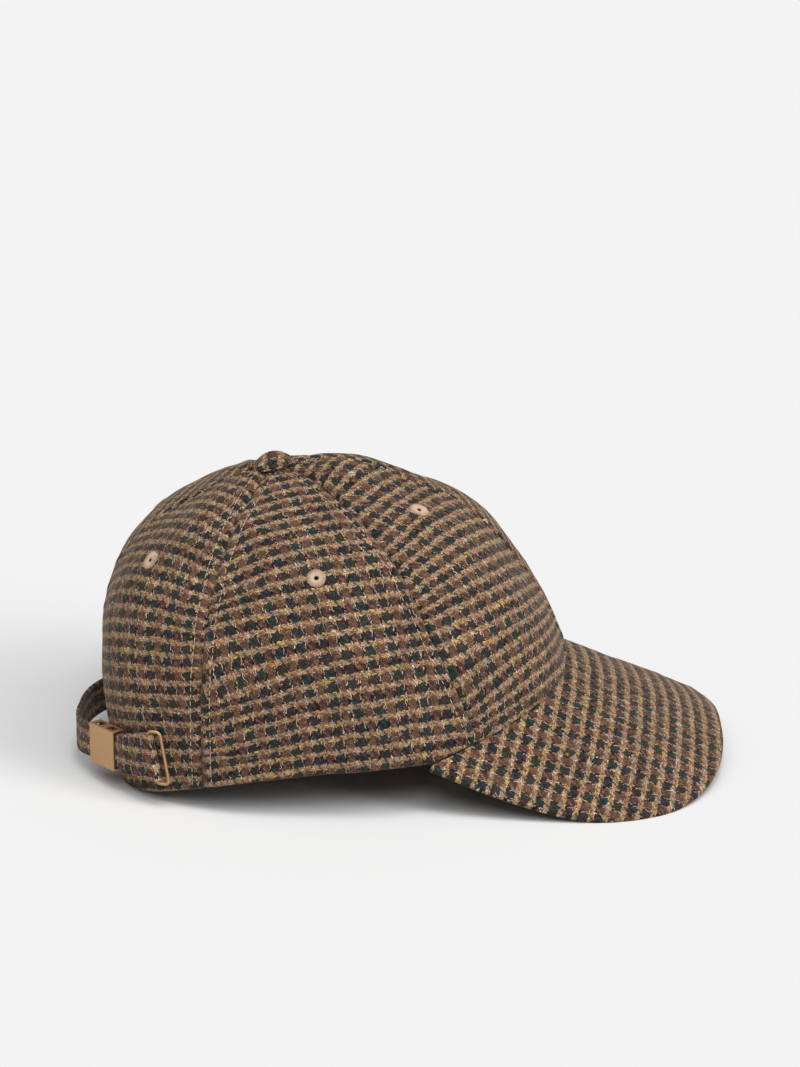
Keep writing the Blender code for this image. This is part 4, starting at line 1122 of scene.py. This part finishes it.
def eyelet_group():
    """Loops of thread wrapped round a hole, each from its rim over to the outer edge."""
    n, given, made = new_group(
        "Eyelet thread", "Geometry",
        (("Geometry", "Geometry", None), ("Loops", "Int", 36), ("Hole radius", "Float", EYELET_HOLE_RADIUS),
         ("Outer radius", "Float", EYELET_RADIUS), ("Rise", "Float", EYELET_RISE),
         ("Thread", "Float", 0.0004), ("Seed", "Int", 7), ("Material", "Material", None)),
        (("Geometry", "Geometry"),))
    half_width = (given["Outer radius"] - given["Hole radius"]) * 0.5
    loop = n.add("GeometryNodeCurvePrimitiveCircle", {"Resolution": 16, "Radius": 1.0})
    upright = n.add("GeometryNodeTransform", {"Geometry": loop, "Rotation": (math.pi / 2, 0, 0)})
    size = n.vector(half_width, 1.0, given["Rise"])
    sized = n.add("GeometryNodeTransform", {"Geometry": upright, "Scale": size})
    profile = n.add("GeometryNodeCurvePrimitiveCircle", {"Resolution": 6, "Radius": given["Thread"] * 0.5})
    tube = n.add("GeometryNodeCurveToMesh", {"Curve": sized, "Profile Curve": profile})
    middle = given["Hole radius"] + half_width
    places = n.add("GeometryNodeMeshCircle", {"Vertices": given["Loops"], "Radius": middle})
    place = n.add("GeometryNodeInputPosition")
    turn = n.add("FunctionNodeAlignRotationToVector", {"Vector": place}, axis="X")
    size = vary(n, given, 0.9, 1.08)
    return lay(n, given, made, places, tube, turn, n.vector(size, 1.0, size))


def grow(data, tree, seed, material):
    """The mesh that a group makes from a curve or from nothing."""
    guide = add_object("guide", data)
    grower = guide.modifiers.new("grow", "NODES")
    grower.node_group = tree
    values = {"Seed": seed, "Material": material}
    for item in tree.interface.items_tree:
        if item.name in values:
            grower[item.identifier] = values[item.name]
    whole = kept(guide)
    bpy.data.objects.remove(guide, do_unlink=True)
    return whole


STITCHES, EYELET_THREAD = stitch_group(), eyelet_group()

for seed, (name, path) in enumerate(stitch_paths):
    curve = bpy.data.curves.new("guide", "CURVE")
    curve.dimensions = "3D"
    spline = curve.splines.new("POLY")
    spline.points.add(len(path) - 1)
    for spot, place in zip(spline.points, path - (MIDDLE_X, 0, 0)):
        spot.co = (*place, 1.0)
    made = add_object(f"stitches_{name}_{seed}", grow(curve, STITCHES, seed, STITCH))
    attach(made, "root")

# %% [markdown]
# ## The eyelets

# %%
EYELET_SINK = 0.0001

for side, hand in HANDS:
    for gore, (name, across, climb) in enumerate(EYELETS):
        whole = grow(bpy.data.meshes.new("guide"), EYELET_THREAD, 7 + gore + side, THREAD)
        place = standing(*eyelet_place(gore, across, climb, side))
        whole.transform(place @ Matrix.Translation((0, 0, -EYELET_SINK)))
        eyelet = add_object(f"eyelet_thread_{name}_{hand}", whole)
        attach(eyelet, "root")
        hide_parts(f"eyelet_{name}_{hand}")

# %% [markdown]
# ## Light, floor and camera

# %%
FLOOR_REACH, SUN_SOFTNESS = 9.0, math.radians(25.0)
# azimuth from behind the camera, elevation and strength of each soft light
SUNS = ((60.0, 28.0, 0.92), (60.0, 45.0, 0.66), (30.0, 62.0, 0.60),
        (0.0, 45.0, 0.60), (0.0, 80.0, 0.82), (-70.0, 62.0, 0.34))
AIM, ELEVATION, DISTANCE = Vector((0.027 - MIDDLE_X, 0, 0.0975)), math.radians(19.5), 1.6

corners = [(x * FLOOR_REACH, y * FLOOR_REACH, 0) for x, y in ((-1, -1), (1, -1), (1, 1), (-1, 1))]
floor_mesh = bpy.data.meshes.new("floor")
floor_mesh.from_pydata(corners, [], [(0, 1, 2, 3)])
floor_mesh.materials.append(plain_material("floor", (0.80, 0.80, 0.80, 1.0), 1.0, specular=0.0))
floor = add_object("floor", floor_mesh)

world = bpy.data.worlds.new("room")
scene.world = world
world.use_nodes = True
world.node_tree.nodes["Background"].inputs["Color"].default_value = (1, 1, 1, 1)
world.node_tree.nodes["Background"].inputs["Strength"].default_value = 0.18


def turn_to(made, way):
    """Turn a light or a camera so that its back faces a way."""
    made.rotation_mode = "QUATERNION"
    made.rotation_quaternion = way.to_track_quat("Z", "Y")


for number, (azimuth, elevation, strength) in enumerate(SUNS):
    light = bpy.data.lights.new(f"sun_{number}", "SUN")
    light.energy, light.angle = strength, SUN_SOFTNESS
    a, e = math.radians(azimuth), math.radians(elevation)
    source = Vector((math.sin(a) * math.cos(e), -math.cos(a) * math.cos(e), math.sin(e)))
    turn_to(add_object(f"sun_{number}", light), source)

camera_data = bpy.data.cameras.new("camera")
camera = add_object("camera", camera_data)
scene.camera = camera
camera_data.sensor_width, camera_data.lens = 36.0, 125.8
back = Vector((0, -math.cos(ELEVATION), math.sin(ELEVATION)))
camera.location = AIM + back * DISTANCE
turn_to(camera, back)
scene.view_settings.view_transform = "Standard"
